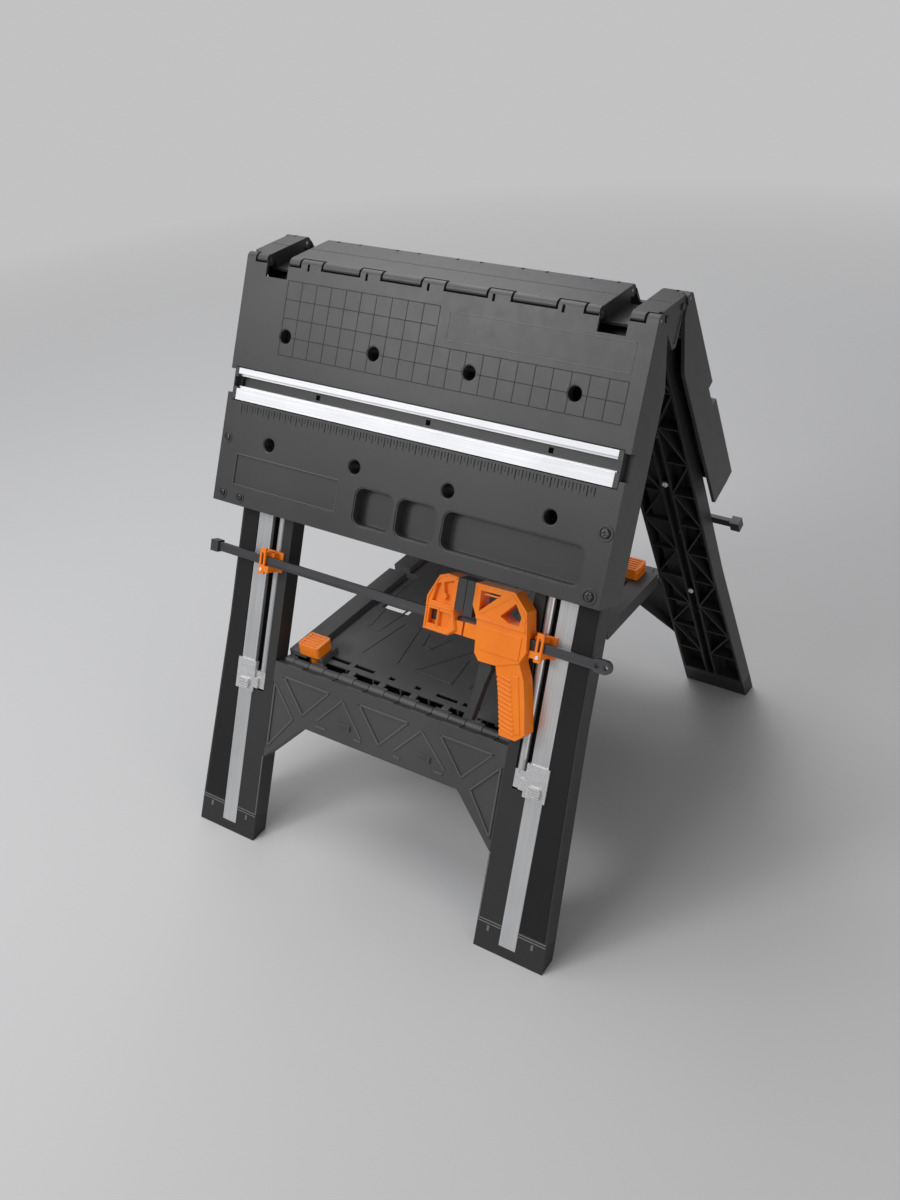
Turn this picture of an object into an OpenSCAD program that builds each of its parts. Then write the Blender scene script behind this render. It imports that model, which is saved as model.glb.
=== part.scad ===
// Folding workbench, set up as a sawhorse, with both table panels hanging beside its legs.
// Origin on the floor under the middle of the ridge. X runs along the ridge, the front faces -Y.
// Front pieces are drawn in place, and rear pieces are the same forms turned half round Z.

/* [Bench] */
// Length of the ridge and of both table panels
bench_l = 635; // [620:1:660]
// Height of the flat ridge top above the floor
bench_h = 813; // [790:1:840]
// Angle of the hanging table panels from upright, in degrees
panel_slope = 26; // [25.5:0.1:26.5]
// Angle of the open legs from upright, in degrees
leg_slope = 23.5; // [23:0.1:23.8]

/* [Ridge] */
// Width across the top, between the sharp corners of the panel faces
ridge_w = 90; // [88:0.5:94]
// Thickness of the top deck
deck_t = 5; // [4:0.5:6]
// Depth of the tapered beam under the top
beam_depth = 57; // [54:1:60]
// Thickness of the beam's walls and cross ribs
beam_wall = 4; // [3:0.5:5]
// Width of the notch that takes a timber laid across the top
notch_w = 38.5; // [36:0.5:40]
// Depth of the timber notch below the top
notch_depth = 22; // [18:1:23]
// Distance from the middle of the ridge to the middle of a timber notch
notch_x = 260.5; // [258:0.5:262]

/* [Panel hinges] */
// Radius of the hinge knuckles between ridge and panels
knuckle_r = 8; // [7:0.5:8.5]
// Radius of the hinge pins of the panels
hinge_pin_r = 2.5; // [2:0.25:3]
// Gap between neighbouring knuckles along the pin
knuckle_gap = 1; // [0.6:0.1:1.4]
// Middle of the inner long ridge knuckle
knuckle_x1 = 50.5; // [49:0.5:52]
// Middle of the outer long ridge knuckle
knuckle_x2 = 150.5; // [149:0.5:152]
// Length of a long ridge knuckle
knuckle_l = 61; // [56:1:64]

/* [Table panel] */
// Length of a panel down its slope
panel_len = 353; // [348:1:358]
// Depth of a panel at its end walls
panel_depth = 60; // [58:0.5:62]
// Thickness of the panel's face
face_t = 4; // [3:0.5:5]
// Thickness of the end walls
end_wall_t = 5; // [4:0.5:6]
// Depth of the ribs under the face
rib_depth = 20; // [16:1:22]
// Thickness of the ribs under the face
rib_t = 2.5; // [2:0.25:3.5]
// Radius of a bench dog hole
dog_hole_r = 9.75; // [9:0.25:10.5]
// Spacing of the dog holes along and down the panel
dog_pitch = 152.4; // [148:0.2:156]
// Distance from the panel's upper corner to the first row of dog holes
dog_row = 105; // [100:1:110]

/* [Rails] */
// Start of the rail channel, measured down the slope
channel_s = 158; // [156:0.5:160]
// Width of the rail channel
channel_w = 48; // [46:0.5:49]
// Depth of the rail channel
channel_depth = 14; // [12:0.5:15]
// Width of the upper rail's top face
upper_rail_w = 8; // [7:0.5:9]
// Width of the lower rail's top face
lower_rail_w = 16; // [14:0.5:17]
// Width of the lower step beside each rail's top face
rail_step_w = 3.5; // [3:0.5:4]
// Height that the rails stand proud of the face
rail_proud = 0.8; // [0.4:0.1:1.2]

/* [Trays] */
// Depth of the parts trays moulded into each panel
tray_depth = 18; // [14:1:19]
// Radius of the trays' corners
tray_r = 12; // [8:1:13]
// Length of the trays down the slope
tray_len = 50; // [46:1:52]
// Width of a square tray
tray_w = 62; // [58:1:64]
// Width of the long tray
long_tray_w = 206; // [196:1:210]

/* [Legs] */
// Distance from the middle of the bench to the inner side of a leg
leg_inner_x = 203.5; // [202:0.5:206]
// Distance from the middle of the bench to the leg's outer side at the top
leg_top_x = 298; // [296:0.5:299]
// Distance from the middle of the bench to the foot's outer side
foot_x = 313; // [309:0.5:314]
// Thickness of a leg from its outer face to its open back
leg_t = 27; // [26:0.5:27.5]
// Thickness of the leg's walls
leg_wall = 4; // [3.5:0.5:4.5]
// Radius of the boss at the top of a leg
leg_boss_r = 12.5; // [12:0.25:13]
// Radius of the pin that a leg turns on
leg_pin_r = 5; // [4.5:0.25:5.5]
// Height of the foot cap along the leg
foot_h = 43; // [38:1:48]

/* [Tracks and braces] */
// Width of the aluminium track
track_w = 26; // [24:0.5:26.5]
// Distance from the middle of the bench to the middle of a track
track_x = 255; // [254.5:0.25:255.5]
// Depth of the track's channel section
track_t = 6; // [5:0.5:7]
// Diameter of the round brace tube
brace_d = 12; // [11:0.5:13]
// Distance from the middle of the bench to a brace tube
brace_x = 226.5; // [226:0.5:227.5]
// Width of the recess that holds the brace tube
brace_recess_w = 22; // [20:0.5:22]
// Distance along the leg from its pivot to the lower end of the brace
brace_end_v = 578; // [570:1:584]
// Length of the brace tube
brace_l = 410; // [395:1:415]
// Width of the latch plate that slides on the track
latch_w = 34; // [32:0.5:35]
// Height of the latch plate
latch_h = 48; // [44:1:52]

/* [Shelf] */
// Height of the shelf's hinge pins above the floor
shelf_pin_z = 262; // [255:1:268]
// Height of the shelf's rims above its hinge pins
shelf_up = 15; // [13:0.5:16]
// Depth of the shelf below its hinge pins
shelf_down = 7; // [6.5:0.25:7.5]
// Half of the shelf's length between the legs
shelf_x = 197; // [194:0.5:198]
// Width of the raised rim at each end of the shelf
rim_w = 31; // [28:1:33]
// Depth of the shelf's recessed floor below the rims
floor_drop = 9; // [7:0.5:10]
// Thickness of the shelf's floor and rim walls
shelf_wall = 3; // [2.5:0.25:4]
// Reach of the interlocking fingers past the middle of the shelf
finger_reach = 50; // [48:0.5:52]
// How far the finger tips stay back from the other half's edge
finger_back = 12; // [12:0.5:16]
// Gap round the interlocking fingers
finger_gap = 1; // [0.8:0.1:1.5]
// Radius of the shelf's hinge knuckles
shelf_knuckle_r = 6.5; // [6:0.25:6.75]
// Radius of the shelf's hinge pins
shelf_pin_r = 2.5; // [2:0.25:3]
// Distance from one leg knuckle to the next along the shelf pin
shelf_pitch = 55.5; // [54:0.5:56]

/* [Cross panel] */
// Height of the cross panel below the shelf pin, measured along the leg
cross_h = 87; // [82:1:92]
// Height that the corner gussets reach below the cross panel
gusset_h = 68; // [60:1:76]
// Length of the corner gussets along X
gusset_w = 66; // [60:1:72]

/* [Clamps] */
// Height of the clamp's steel bar
bar_h = 13; // [12:0.5:14]
// Thickness of the clamp's steel bar
bar_t = 6; // [5:0.5:6.5]
// Distance along the leg from its pivot to the bar's middle
bar_v = 397; // [395:0.5:399]
// Distance from the leg's outer face to the back of the bar
bar_out = 13; // [12.5:0.25:14]
// Half of the bar's length
bar_half = 318; // [310:1:322]
// Distance from the middle of the bench to a bar holder
holder_x = 230; // [229:0.5:231]

/* [Bench dogs] */
// Length of a stored bench dog's block
dog_l = 38; // [34:1:40]
// Width of a stored bench dog's block
dog_w = 34; // [30:1:35]
// Height of a stored bench dog's block
dog_h = 18; // [14:1:20]
// Radius of a bench dog's peg
dog_peg_r = 9.4; // [9:0.1:9.5]

/* [Hidden] */
$fn = 48;

plastic = [0.11, 0.11, 0.12];
aluminium = [0.82, 0.83, 0.85];
steel = [0.62, 0.63, 0.65];
orange = [0.95, 0.48, 0.1];
dark = [0.2, 0.2, 0.21];

// Clearances
pin_fit = 0.05;
slide_fit = 0.3;
turn_gap = 0.8;
eps = 0.01;

// Panel hinge: the knuckle is flush with the ridge top and with the hanging panel's face
edge_back = knuckle_r * (1 - sin(panel_slope)) / cos(panel_slope);
hinge_y = ridge_w / 2 - edge_back;
hinge_z = bench_h - knuckle_r;
deck_half = hinge_y - 0.5;
panel_start = edge_back + 0.5;
notch_end_s = notch_depth / cos(panel_slope) + 4;
small_knuckle_l = 18;
inner_small_x = notch_x - notch_w / 2 - small_knuckle_l / 2 - 1;
outer_small_x = notch_x + notch_w / 2 + small_knuckle_l / 2 + 1;

// Leg pivots under the ridge
pivot_y = 14;
pivot_z = bench_h - 48;
hanger_t = 4;
leg_cos = cos(leg_slope);
leg_sin = sin(leg_slope);
leg_face = leg_t / 2;
leg_len = (pivot_z + leg_face * leg_sin) / leg_cos;
foot_v = leg_len - foot_h;
track_v0 = 8;
track_v1 = leg_len - 15;

// Shelf hinge, in the leg's own frame and in the bench's
shelf_pin_in = 7;
shelf_pin_v = (pivot_z - shelf_pin_in * leg_sin - shelf_pin_z) / leg_cos;
shelf_pin_y = pivot_y + shelf_pin_v * leg_sin - shelf_pin_in * leg_cos;
finger_count = 8;
finger_w = 2 * shelf_x / finger_count;
floor_top = shelf_up - floor_drop;

// Panel positions down the slope
dog_rows = [dog_row, dog_row + dog_pitch];
dog_columns = [-1.5, -0.5, 0.5, 1.5];
channel_end = channel_s + channel_w;
upper_rail_s = channel_s + 1.5;
lower_rail_s = channel_end - 1.5 - lower_rail_w;
rail_half = bench_l / 2 - 15.5;
tray_s = channel_end + 101.5;
corner_cut_x = bench_l / 2 - 8.5;

// Helpers
module front_and_rear() {
  children();
  rotate([0, 0, 180]) children();
}

// Frame of the front panel: face at z = knuckle_r, slope running to -Y
module panel_frame() {
  translate([0, -hinge_y, hinge_z])
    rotate([90 - panel_slope, 0, 0])
      children();
}

// Block on the panel, from x0 to x1, from s0 to s1 down the slope and from t0 to t1 in depth
module face_slab(x0, x1, s0, s1, t0, t1) {
  translate([x0, edge_back - s1, knuckle_r - t1])
    cube([x1 - x0, s1 - s0, t1 - t0]);
}

// Outline drawn in Y and Z, made into a plate from x0 to x1
module x_plate(x0, x1) {
  translate([x0, 0, 0])
    rotate([90, 0, 90])
      linear_extrude(x1 - x0)
        children();
}

// Round bar along X through the given Y and Z
module x_rod(x0, x1, r) {
  translate([x0, 0, 0])
    rotate([0, 90, 0])
      cylinder(r = r, h = x1 - x0);
}

// Frame of the front legs: outer face at y = -leg_face, pivot at the origin
module leg_frame() {
  translate([0, -pivot_y, pivot_z])
    rotate([-leg_slope, 0, 0])
      children();
}

// Block on a leg, from v0 to v1 down the leg and from w0 to w1 out of its outer face
module leg_slab(x0, x1, v0, v1, w0, w1) {
  translate([x0, -leg_face - w1, -v1])
    cube([x1 - x0, w1 - w0, v1 - v0]);
}

// Outline drawn in X and height on the leg, made into a plate from w0 to w1
module leg_plate(w0, w1) {
  translate([0, -leg_face - w0, 0])
    rotate([90, 0, 0])
      linear_extrude(w1 - w0)
        children();
}

module rounded(w, l, r) {
  square([w - 2 * r, l], center = true);
  square([w, l - 2 * r], center = true);
  for (i = [-1, 1], j = [-1, 1])
    translate([i * (w / 2 - r), j * (l / 2 - r)])
      circle(r);
}

// Ridge
beam_half = hinge_y - knuckle_r - 1;
plate_out = bench_l / 2 - 2.5;
plate_in = plate_out - 4;
hanger_in = leg_inner_x - 0.5;
hanger_out = leg_top_x + 0.8;
long_knuckles = [-knuckle_x2, -knuckle_x1, knuckle_x1, knuckle_x2];
small_knuckles = [-outer_small_x, -inner_small_x, inner_small_x, outer_small_x];
panel_knuckle_ends = [
  [-knuckle_x1 + knuckle_l / 2 + knuckle_gap, knuckle_x1 - knuckle_l / 2 - knuckle_gap],
  [knuckle_x1 + knuckle_l / 2 + knuckle_gap, knuckle_x2 - knuckle_l / 2 - knuckle_gap],
  [knuckle_x2 + knuckle_l / 2 + knuckle_gap, inner_small_x - small_knuckle_l / 2 - knuckle_gap],
  [outer_small_x + small_knuckle_l / 2 + knuckle_gap, bench_l / 2]
];

module ridge_knuckle(x, l) {
  translate([0, -hinge_y, hinge_z]) {
    x_rod(x - l / 2, x + l / 2, knuckle_r);
    translate([x - l / 2, 0, 0])
      cube([l, knuckle_r + 4, knuckle_r]);
  }
}

module beam_outline(half, top) {
  polygon([[-half, top], [half, top], [5, -beam_depth], [-5, -beam_depth]]);
}

module ridge_beam_body() {
  inner = leg_inner_x - hanger_t - 0.5;
  notch_in = notch_x - notch_w / 2;
  notch_out = notch_x + notch_w / 2;
  floor_z = bench_h - notch_depth;
  difference() {
    union() {
      translate([-plate_in, -deck_half, bench_h - deck_t])
        cube([2 * plate_in, 2 * deck_half, deck_t]);
      translate([0, 0, bench_h])
        x_plate(-inner, inner)
          difference() {
            beam_outline(beam_half, -deck_t + 1);
            translate([0, beam_wall - 1])
              polygon([
                [-beam_half + beam_wall + 1, -deck_t],
                [beam_half - beam_wall - 1, -deck_t],
                [2, -beam_depth + 2],
                [-2, -beam_depth + 2]
              ]);
          }
      for (side = [-1, 1]) {
        for (x = [hanger_in - hanger_t / 2, hanger_out + hanger_t / 2])
          translate([side * x, 0, bench_h])
            x_plate(-hanger_t / 2, hanger_t / 2)
              hanger_outline();
        for (y = [-beam_half, beam_half - beam_wall])
          translate([side > 0 ? hanger_in - 1 : -plate_in, y, floor_z - beam_wall])
            cube([plate_in - hanger_in + 1, beam_wall, notch_depth + beam_wall - 1]);
        for (x = [notch_in - beam_wall, notch_out])
          translate([side > 0 ? x : -x - beam_wall, -beam_half, floor_z - beam_wall])
            cube([beam_wall, 2 * beam_half, notch_depth + beam_wall - 1]);
        translate([side * notch_x - notch_w / 2 - 1, -beam_half, floor_z - beam_wall])
          cube([notch_w + 2, 2 * beam_half, beam_wall]);
      }
      for (x = [-150, -100, -50, 0, 50, 100, 150])
        translate([0, 0, bench_h])
          x_plate(x - 1.5, x + 1.5)
            beam_outline(beam_half - 1, -deck_t + 1);
      front_and_rear() {
        for (x = long_knuckles)
          ridge_knuckle(x, knuckle_l);
        for (x = small_knuckles)
          ridge_knuckle(x, small_knuckle_l);
      }
    }
    // Seam along the middle of the top
    translate([-bench_l / 2, -0.75, bench_h - 0.8])
      cube([bench_l, 1.5, 2]);
    // Timber notches
    for (side = [-1, 1])
      translate([side * notch_x - notch_w / 2, -ridge_w, floor_z])
        cube([notch_w, 2 * ridge_w, notch_depth + 1]);
    front_and_rear() {
      translate([0, -hinge_y, hinge_z]) {
        // Room for the panels' knuckles
        for (k = panel_knuckle_ends) {
          x_rod(k[0] - knuckle_gap, k[1] + knuckle_gap, knuckle_r + turn_gap);
          if (k[0] > 0)
            x_rod(-k[1] - knuckle_gap, -k[0] + knuckle_gap, knuckle_r + turn_gap);
        }
        // Bore for the panel's hinge pins
        x_rod(-bench_l / 2 - 1, bench_l / 2 + 1, hinge_pin_r + pin_fit);
      }
      // Bores for the legs' pins
      translate([0, -pivot_y, pivot_z]) {
        x_rod(inner - 1, hanger_out + hanger_t + 1, leg_pin_r + pin_fit);
        x_rod(-hanger_out - hanger_t - 1, -inner + 1, leg_pin_r + pin_fit);
      }
    }
  }
}

module hanger_outline() {
  polygon([
    [-beam_half, -deck_t + 1], [beam_half, -deck_t + 1],
    [pivot_y + 13, -44], [pivot_y + 10, -58],
    [-pivot_y - 10, -58], [-pivot_y - 13, -44]
  ]);
}

module ridge_beam() {
  color(plastic)
    ridge_beam_body();
}

module end_plate_outline() {
  polygon([
    [-beam_half, 0], [beam_half, 0], [beam_half, -9], [5, -beam_depth],
    [-5, -beam_depth], [-beam_half, -9]
  ]);
}

module ridge_right_end_plate() {
  color(plastic)
    translate([0, 0, bench_h])
      difference() {
        x_plate(plate_in, plate_out)
          end_plate_outline();
        x_plate(plate_out - 1, plate_out + 1)
          polygon([[-21, -20], [21, -20], [3, -51], [-3, -51]]);
      }
}

module ridge_left_end_plate() {
  mirror([1, 0, 0])
    ridge_right_end_plate();
}

module ridge_end_bolts() {
  color(steel)
    for (side = [-1, 1], p = [[-22, -12], [22, -12]])
      translate([side > 0 ? plate_out : -plate_out - 2, p[0], bench_h + p[1]])
        x_rod(0, 2, 4.5);
}

module hinge_pins() {
  end_in = notch_x + notch_w / 2 + 1.5;
  pin_in = notch_x - notch_w / 2 - 1.5;
  color(steel)
    translate([0, -hinge_y, hinge_z]) {
      x_rod(-pin_in, pin_in, hinge_pin_r);
      x_rod(end_in, bench_l / 2 - 0.5, hinge_pin_r);
      x_rod(-bench_l / 2 + 0.5, -end_in, hinge_pin_r);
    }
}

module front_panel_hinge_pins() {
  hinge_pins();
}

module rear_panel_hinge_pins() {
  rotate([0, 0, 180])
    hinge_pins();
}

module leg_pivot_pins() {
  inner = hanger_in - hanger_t;
  outer = hanger_out + hanger_t;
  color(steel)
    front_and_rear()
      for (side = [0, 1])
        mirror([side, 0, 0])
          translate([0, -pivot_y, pivot_z]) {
            x_rod(inner, outer, leg_pin_r);
            x_rod(outer, outer + 2.5, leg_pin_r + 3);
          }
}

// Table panels
module end_wall_outline() {
  polygon([
    [-panel_start - 0.3, -1], [-panel_len + 0.3, -1], [-panel_len + 0.3, -rib_depth],
    [-panel_len + 4, -panel_depth], [-panel_start - 78, -panel_depth],
    [-panel_start - 8, -30], [-panel_start - 0.3, -20]
  ]);
}

module panel_body() {
  half = bench_l / 2;
  difference() {
    union() {
      face_slab(-half, half, panel_start, panel_len, 0, face_t);
      for (x = [-half, half - end_wall_t])
        translate([0, edge_back, knuckle_r])
          x_plate(x, x + end_wall_t)
            end_wall_outline();
      face_slab(-half, half, panel_len - face_t, panel_len, 0, rib_depth);
      face_slab(-half, half, channel_s - 3, channel_end + 3, 0, channel_depth + 3);
      for (i = [-3.5, -2.5, -1.5, -0.5, 0.5, 1.5, 2.5, 3.5])
        face_slab(i * dog_pitch / 2 - rib_t / 2, i * dog_pitch / 2 + rib_t / 2,
          34, panel_len - 2, face_t - 1, rib_depth);
      for (s = [66, 136, 230])
        face_slab(-half + 2, half - 2, s - rib_t / 2, s + rib_t / 2, face_t - 1, rib_depth);
      tray_places()
        translate([0, 0, -tray_depth - 2.5])
          linear_extrude(tray_depth)
            rounded($tray_w + 5, tray_len + 5, tray_r + 2.5);
      for (i = dog_columns, s = dog_rows)
        translate([i * dog_pitch, edge_back - s, knuckle_r - 16])
          cylinder(r = dog_hole_r + 4, h = 15);
      for (k = panel_knuckle_ends) {
        panel_knuckle(k[0], k[1]);
        if (k[0] > 0)
          panel_knuckle(-k[1], -k[0]);
      }
    }
    // Room for the ridge's knuckles
    for (x = long_knuckles)
      x_rod(x - knuckle_l / 2 - knuckle_gap, x + knuckle_l / 2 + knuckle_gap,
        knuckle_r + turn_gap);
    for (x = small_knuckles)
      x_rod(x - small_knuckle_l / 2 - knuckle_gap, x + small_knuckle_l / 2 + knuckle_gap,
        knuckle_r + turn_gap);
    // Timber notches
    for (side = [-1, 1])
      face_slab(side * notch_x - notch_w / 2, side * notch_x + notch_w / 2,
        -20, notch_end_s, -20, 40);
    x_rod(-half - 1, half + 1, hinge_pin_r + pin_fit);
    // Rail channel and the gaps at its ends
    face_slab(-corner_cut_x, corner_cut_x, channel_s, channel_end, -1, channel_depth);
    for (x = [-half - 1, corner_cut_x - 1])
      face_slab(x, x + half - corner_cut_x + 2, channel_s + 4, channel_end - 10, -1, 12);
    // Square holes in the channel's floor and slots in the hinge knuckles
    for (i = [-1, 0, 1])
      face_slab(19.5 + i * 185.5 - 3.5, 19.5 + i * 185.5 + 3.5, channel_s + 17, channel_s + 24,
        channel_depth - 1, channel_depth + 4);
    for (i = [-2, -1, 0, 1, 2])
      face_slab(i * 99.4 - 8.3, i * 99.4 - 5.7, 3.5, 12.5, -1, 4.5);
    // Trays and dog holes
    tray_places() {
      translate([0, 0, -tray_depth])
        linear_extrude(tray_depth + 1)
          rounded($tray_w, tray_len, tray_r);
      translate([0, 0, -1.2])
        linear_extrude(2)
          rounded($tray_w + 4, tray_len + 4, tray_r + 2);
    }
    for (i = dog_columns, s = dog_rows)
      translate([i * dog_pitch, edge_back - s, -20]) {
        cylinder(r = dog_hole_r, h = 40);
        translate([0, 0, knuckle_r + 20 - 0.8])
          cylinder(r = dog_hole_r + 1.2, h = 2);
      }
    // Bare recess for a label
    face_slab(-284, -99, tray_s - 26, tray_s + 18, -1, 1.5);
  }
}

module tray_places() {
  at_tray(-35, tray_w)
    children();
  at_tray(35, tray_w)
    children();
  at_tray(78 + long_tray_w / 2, long_tray_w)
    children();
}

module at_tray(x, w) {
  $tray_w = w;
  translate([x, edge_back - tray_s, knuckle_r])
    children();
}

module panel_knuckle(x0, x1) {
  x_rod(x0, x1, knuckle_r);
  translate([x0, -knuckle_r - 3, 0])
    cube([x1 - x0, knuckle_r + 3, knuckle_r]);
}

module front_panel() {
  color(plastic)
    panel_frame()
      panel_body();
}

module rear_panel() {
  rotate([0, 0, 180])
    front_panel();
}

// Hollow rail, open towards the channel's floor, with a lower step on one side
module rail_outline(top_w, step) {
  difference() {
    union() {
      translate([0, -channel_depth])
        square([top_w, channel_depth + rail_proud]);
      translate([step > 0 ? 0 : -rail_step_w, -channel_depth])
        square([top_w + rail_step_w, channel_depth - 5]);
    }
    translate([2, -channel_depth - 1])
      square([top_w - 4, channel_depth + rail_proud - 1]);
  }
}

module rail(s, top_w, step) {
  color(aluminium)
    panel_frame()
      translate([0, edge_back, knuckle_r])
        x_plate(-rail_half, rail_half)
          mirror([1, 0])
            translate([s, 0])
              rail_outline(top_w, step);
}

module front_upper_rail() {
  rail(upper_rail_s, upper_rail_w, 1);
}

module front_lower_rail() {
  rail(lower_rail_s, lower_rail_w, -1);
}

module rear_upper_rail() {
  rotate([0, 0, 180])
    front_upper_rail();
}

module rear_lower_rail() {
  rotate([0, 0, 180])
    front_lower_rail();
}

module rail_clips() {
  color(plastic)
    panel_frame()
      for (side = [0, 1])
        mirror([side, 0, 0])
          difference() {
            face_slab(rail_half, corner_cut_x - 0.3, channel_s + 1, channel_end - 1,
              -rail_proud, channel_depth);
            face_slab(rail_half - 1, corner_cut_x - 2, channel_s + 14, channel_end - 20, -2, 9);
          }
}

module front_rail_clips() {
  rail_clips();
}

module rear_rail_clips() {
  rotate([0, 0, 180])
    rail_clips();
}

module panel_screws() {
  half = bench_l / 2;
  places = [
    [-half + 11.5, panel_len - 93], [half - 11.5, panel_len - 93], [-half + 16.5, panel_len - 13],
    [half - 16.5, panel_len - 13], [-half + 49.5, panel_len - 12]
  ];
  color(steel)
    panel_frame()
      for (p = places)
        translate([p[0], edge_back - p[1], knuckle_r])
          difference() {
            cylinder(r = 4.5, h = 1.4);
            translate([0, 0, 0.6])
              cylinder(r = 2.2, h = 2);
          }
}

module front_panel_screws() {
  panel_screws();
}

module rear_panel_screws() {
  rotate([0, 0, 180])
    panel_screws();
}

// Legs
groove_in = track_x - track_w / 2 - slide_fit;
groove_out = track_x + track_w / 2 + slide_fit;
side_groove = groove_out + 4.7;
recess_in = groove_in - brace_recess_w;
recess_depth = 16;
recess_floor = recess_depth + 3;
recess_v1 = brace_end_v + 23;
spine_in = track_x - 9;
spine_out = track_x + 9;
latch_v0 = brace_end_v - 20;
side_groove_v1 = latch_v0 + latch_h + 5;
pocket_v1 = foot_v - 12;
bend_v = 500;
bend_x = leg_top_x + 3.5;
rib_pitch = 70;

module leg_outline() {
  polygon([
    [leg_inner_x, 0], [leg_top_x, 0], [bend_x, -bend_v], [foot_x - 1, -foot_v],
    [leg_inner_x, -foot_v]
  ]);
}

// Outer edge of the leg at the distance v from its pivot
function edge_x(v) = v < bend_v
  ? leg_top_x + (bend_x - leg_top_x) * v / bend_v
  : bend_x + (foot_x - 1 - bend_x) * (v - bend_v) / (foot_v - bend_v);

module edge_pocket(x0, w0, w1) {
  leg_plate(w0, w1)
    polygon([
      [x0, -20], [leg_top_x - leg_wall, -20], [bend_x - leg_wall, -bend_v],
      [edge_x(pocket_v1) - leg_wall, -pocket_v1], [x0, -pocket_v1]
    ]);
}

// Slanted rib from (x0, v0) to (x1, v1)
module leg_rib(x0, v0, x1, v1, w0, w1) {
  run = sqrt((x1 - x0) * (x1 - x0) + (v1 - v0) * (v1 - v0));
  leg_plate(w0, w1)
    translate([x0, -v0])
      rotate(atan2(v0 - v1, x1 - x0))
        translate([0, -1.25])
          square([run, 2.5]);
}

module leg_body() {
  difference() {
    union() {
      difference() {
        leg_plate(-leg_t, 0)
          leg_outline();
        // Open back beside the brace recess
        leg_slab(leg_inner_x + leg_wall, spine_in, 20, pocket_v1, -leg_t - 1, -recess_floor);
        leg_slab(leg_inner_x + leg_wall, recess_in - 3, 20, pocket_v1, -recess_floor - 1, -leg_wall);
        leg_slab(recess_in - 4, groove_in - 3, recess_v1 + 4, pocket_v1,
          -recess_floor - 1, -leg_wall);
        // Open back beside the outer edge
        edge_pocket(spine_out, -leg_t - 1, -track_t - 4);
        edge_pocket(side_groove + 3, -track_t - 5, -leg_wall);
        // Groove down the spine
        leg_slab(spine_in + 3, spine_out - 3, 20, pocket_v1, -leg_t - 1, -14);
      }
      for (i = [1:10]) {
        v = 20 + i * rib_pitch;
        leg_slab(leg_inner_x + 1, spine_in + 1, v - 1.25, v + 1.25, -leg_t, -recess_floor + 1);
        leg_slab(spine_out - 1, edge_x(v) - 1, v - 1.25, v + 1.25, -leg_t, -track_t - 3);
      }
      for (i = [0:9]) {
        v = 20 + i * rib_pitch;
        up = i % 2 == 0;
        leg_rib(leg_inner_x + 2, up ? v + rib_pitch : v, spine_in + 1, up ? v : v + rib_pitch,
          -leg_t, -recess_floor + 1);
        leg_rib(spine_out - 1, up ? v : v + rib_pitch, edge_x(v) - 2, up ? v + rib_pitch : v,
          -leg_t, -track_t - 3);
      }
      // Rounded top that turns on the pivot pin
      x_rod(leg_inner_x, leg_top_x, leg_face);
    }
    // Track groove, latch groove and brace recess in the outer face
    leg_slab(groove_in, groove_out, track_v0 - slide_fit, leg_len, -track_t, 1);
    leg_slab(groove_out - 1, side_groove, track_v0 - slide_fit, side_groove_v1, -track_t, 1);
    leg_slab(recess_in, groove_in + 1, 40, recess_v1, -recess_depth, 1);
    x_rod(leg_inner_x - 1, leg_top_x + 1, leg_pin_r + pin_fit);
  }
}

module right_leg() {
  color(plastic)
    leg_frame()
      leg_body();
}

module left_leg() {
  mirror([1, 0, 0])
    right_leg();
}

module front_right_leg() {
  right_leg();
}

module front_left_leg() {
  left_leg();
}

module rear_right_leg() {
  rotate([0, 0, 180])
    left_leg();
}

module rear_left_leg() {
  rotate([0, 0, 180])
    right_leg();
}

// Both tracks of a frame: a channel section with its flat side out
module leg_tracks() {
  color(aluminium)
    leg_frame()
      for (side = [0, 1])
        mirror([side, 0, 0])
          difference() {
            leg_slab(track_x - track_w / 2, track_x + track_w / 2, track_v0, track_v1, -track_t, 0);
            leg_slab(track_x - track_w / 2 + 2, track_x + track_w / 2 - 2,
              track_v0 - 1, track_v1 + 1, -track_t - 1, -2);
          }
}

module front_leg_tracks() {
  leg_tracks();
}

module rear_leg_tracks() {
  rotate([0, 0, 180])
    leg_tracks();
}

// Both foot caps of a frame, cut flat at the floor
module feet() {
  color(plastic)
    difference() {
      leg_frame()
        for (side = [0, 1])
          mirror([side, 0, 0])
            difference() {
              leg_plate(-leg_t, 0)
                polygon([
                  [leg_inner_x, -foot_v], [foot_x - 1, -foot_v], [foot_x, -leg_len - 1],
                  [leg_inner_x, -leg_len - 1]
                ]);
              leg_slab(groove_in, groove_out, foot_v - 1, track_v1 + 0.3, -track_t, 1);
              leg_slab(leg_inner_x + 6, foot_x - 7, foot_v - 1, foot_v + 12, -leg_t + 4, -track_t - 4);
            }
      translate([-bench_l, -500, -60])
        cube([2 * bench_l, 500, 60]);
    }
}

module front_feet() {
  feet();
}

module rear_feet() {
  rotate([0, 0, 180])
    feet();
}

// Screw heads seen inside the grooved spines
module leg_screws() {
  color(steel)
    leg_frame()
      for (side = [0, 1], v = [195, 405, 615])
        mirror([side, 0, 0])
          translate([track_x, -leg_face + 14, -v])
            rotate([-90, 0, 0])
              cylinder(r = 4.5, h = 2.5);
}

module front_leg_screws() {
  leg_screws();
}

module rear_leg_screws() {
  rotate([0, 0, 180])
    leg_screws();
}

// Cross panel between the legs
leg_knuckle_l = 27;
leg_knuckles = [-3, -2, -1, 0, 1, 2, 3];
shelf_knuckles = [-2.5, -1.5, -0.5, 0.5, 1.5, 2.5];
cross_v0 = shelf_pin_v + 1;
cross_v1 = shelf_pin_v + cross_h;
gusset_v = cross_v1 + gusset_h;
gusset_x = leg_inner_x - gusset_w;

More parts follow.
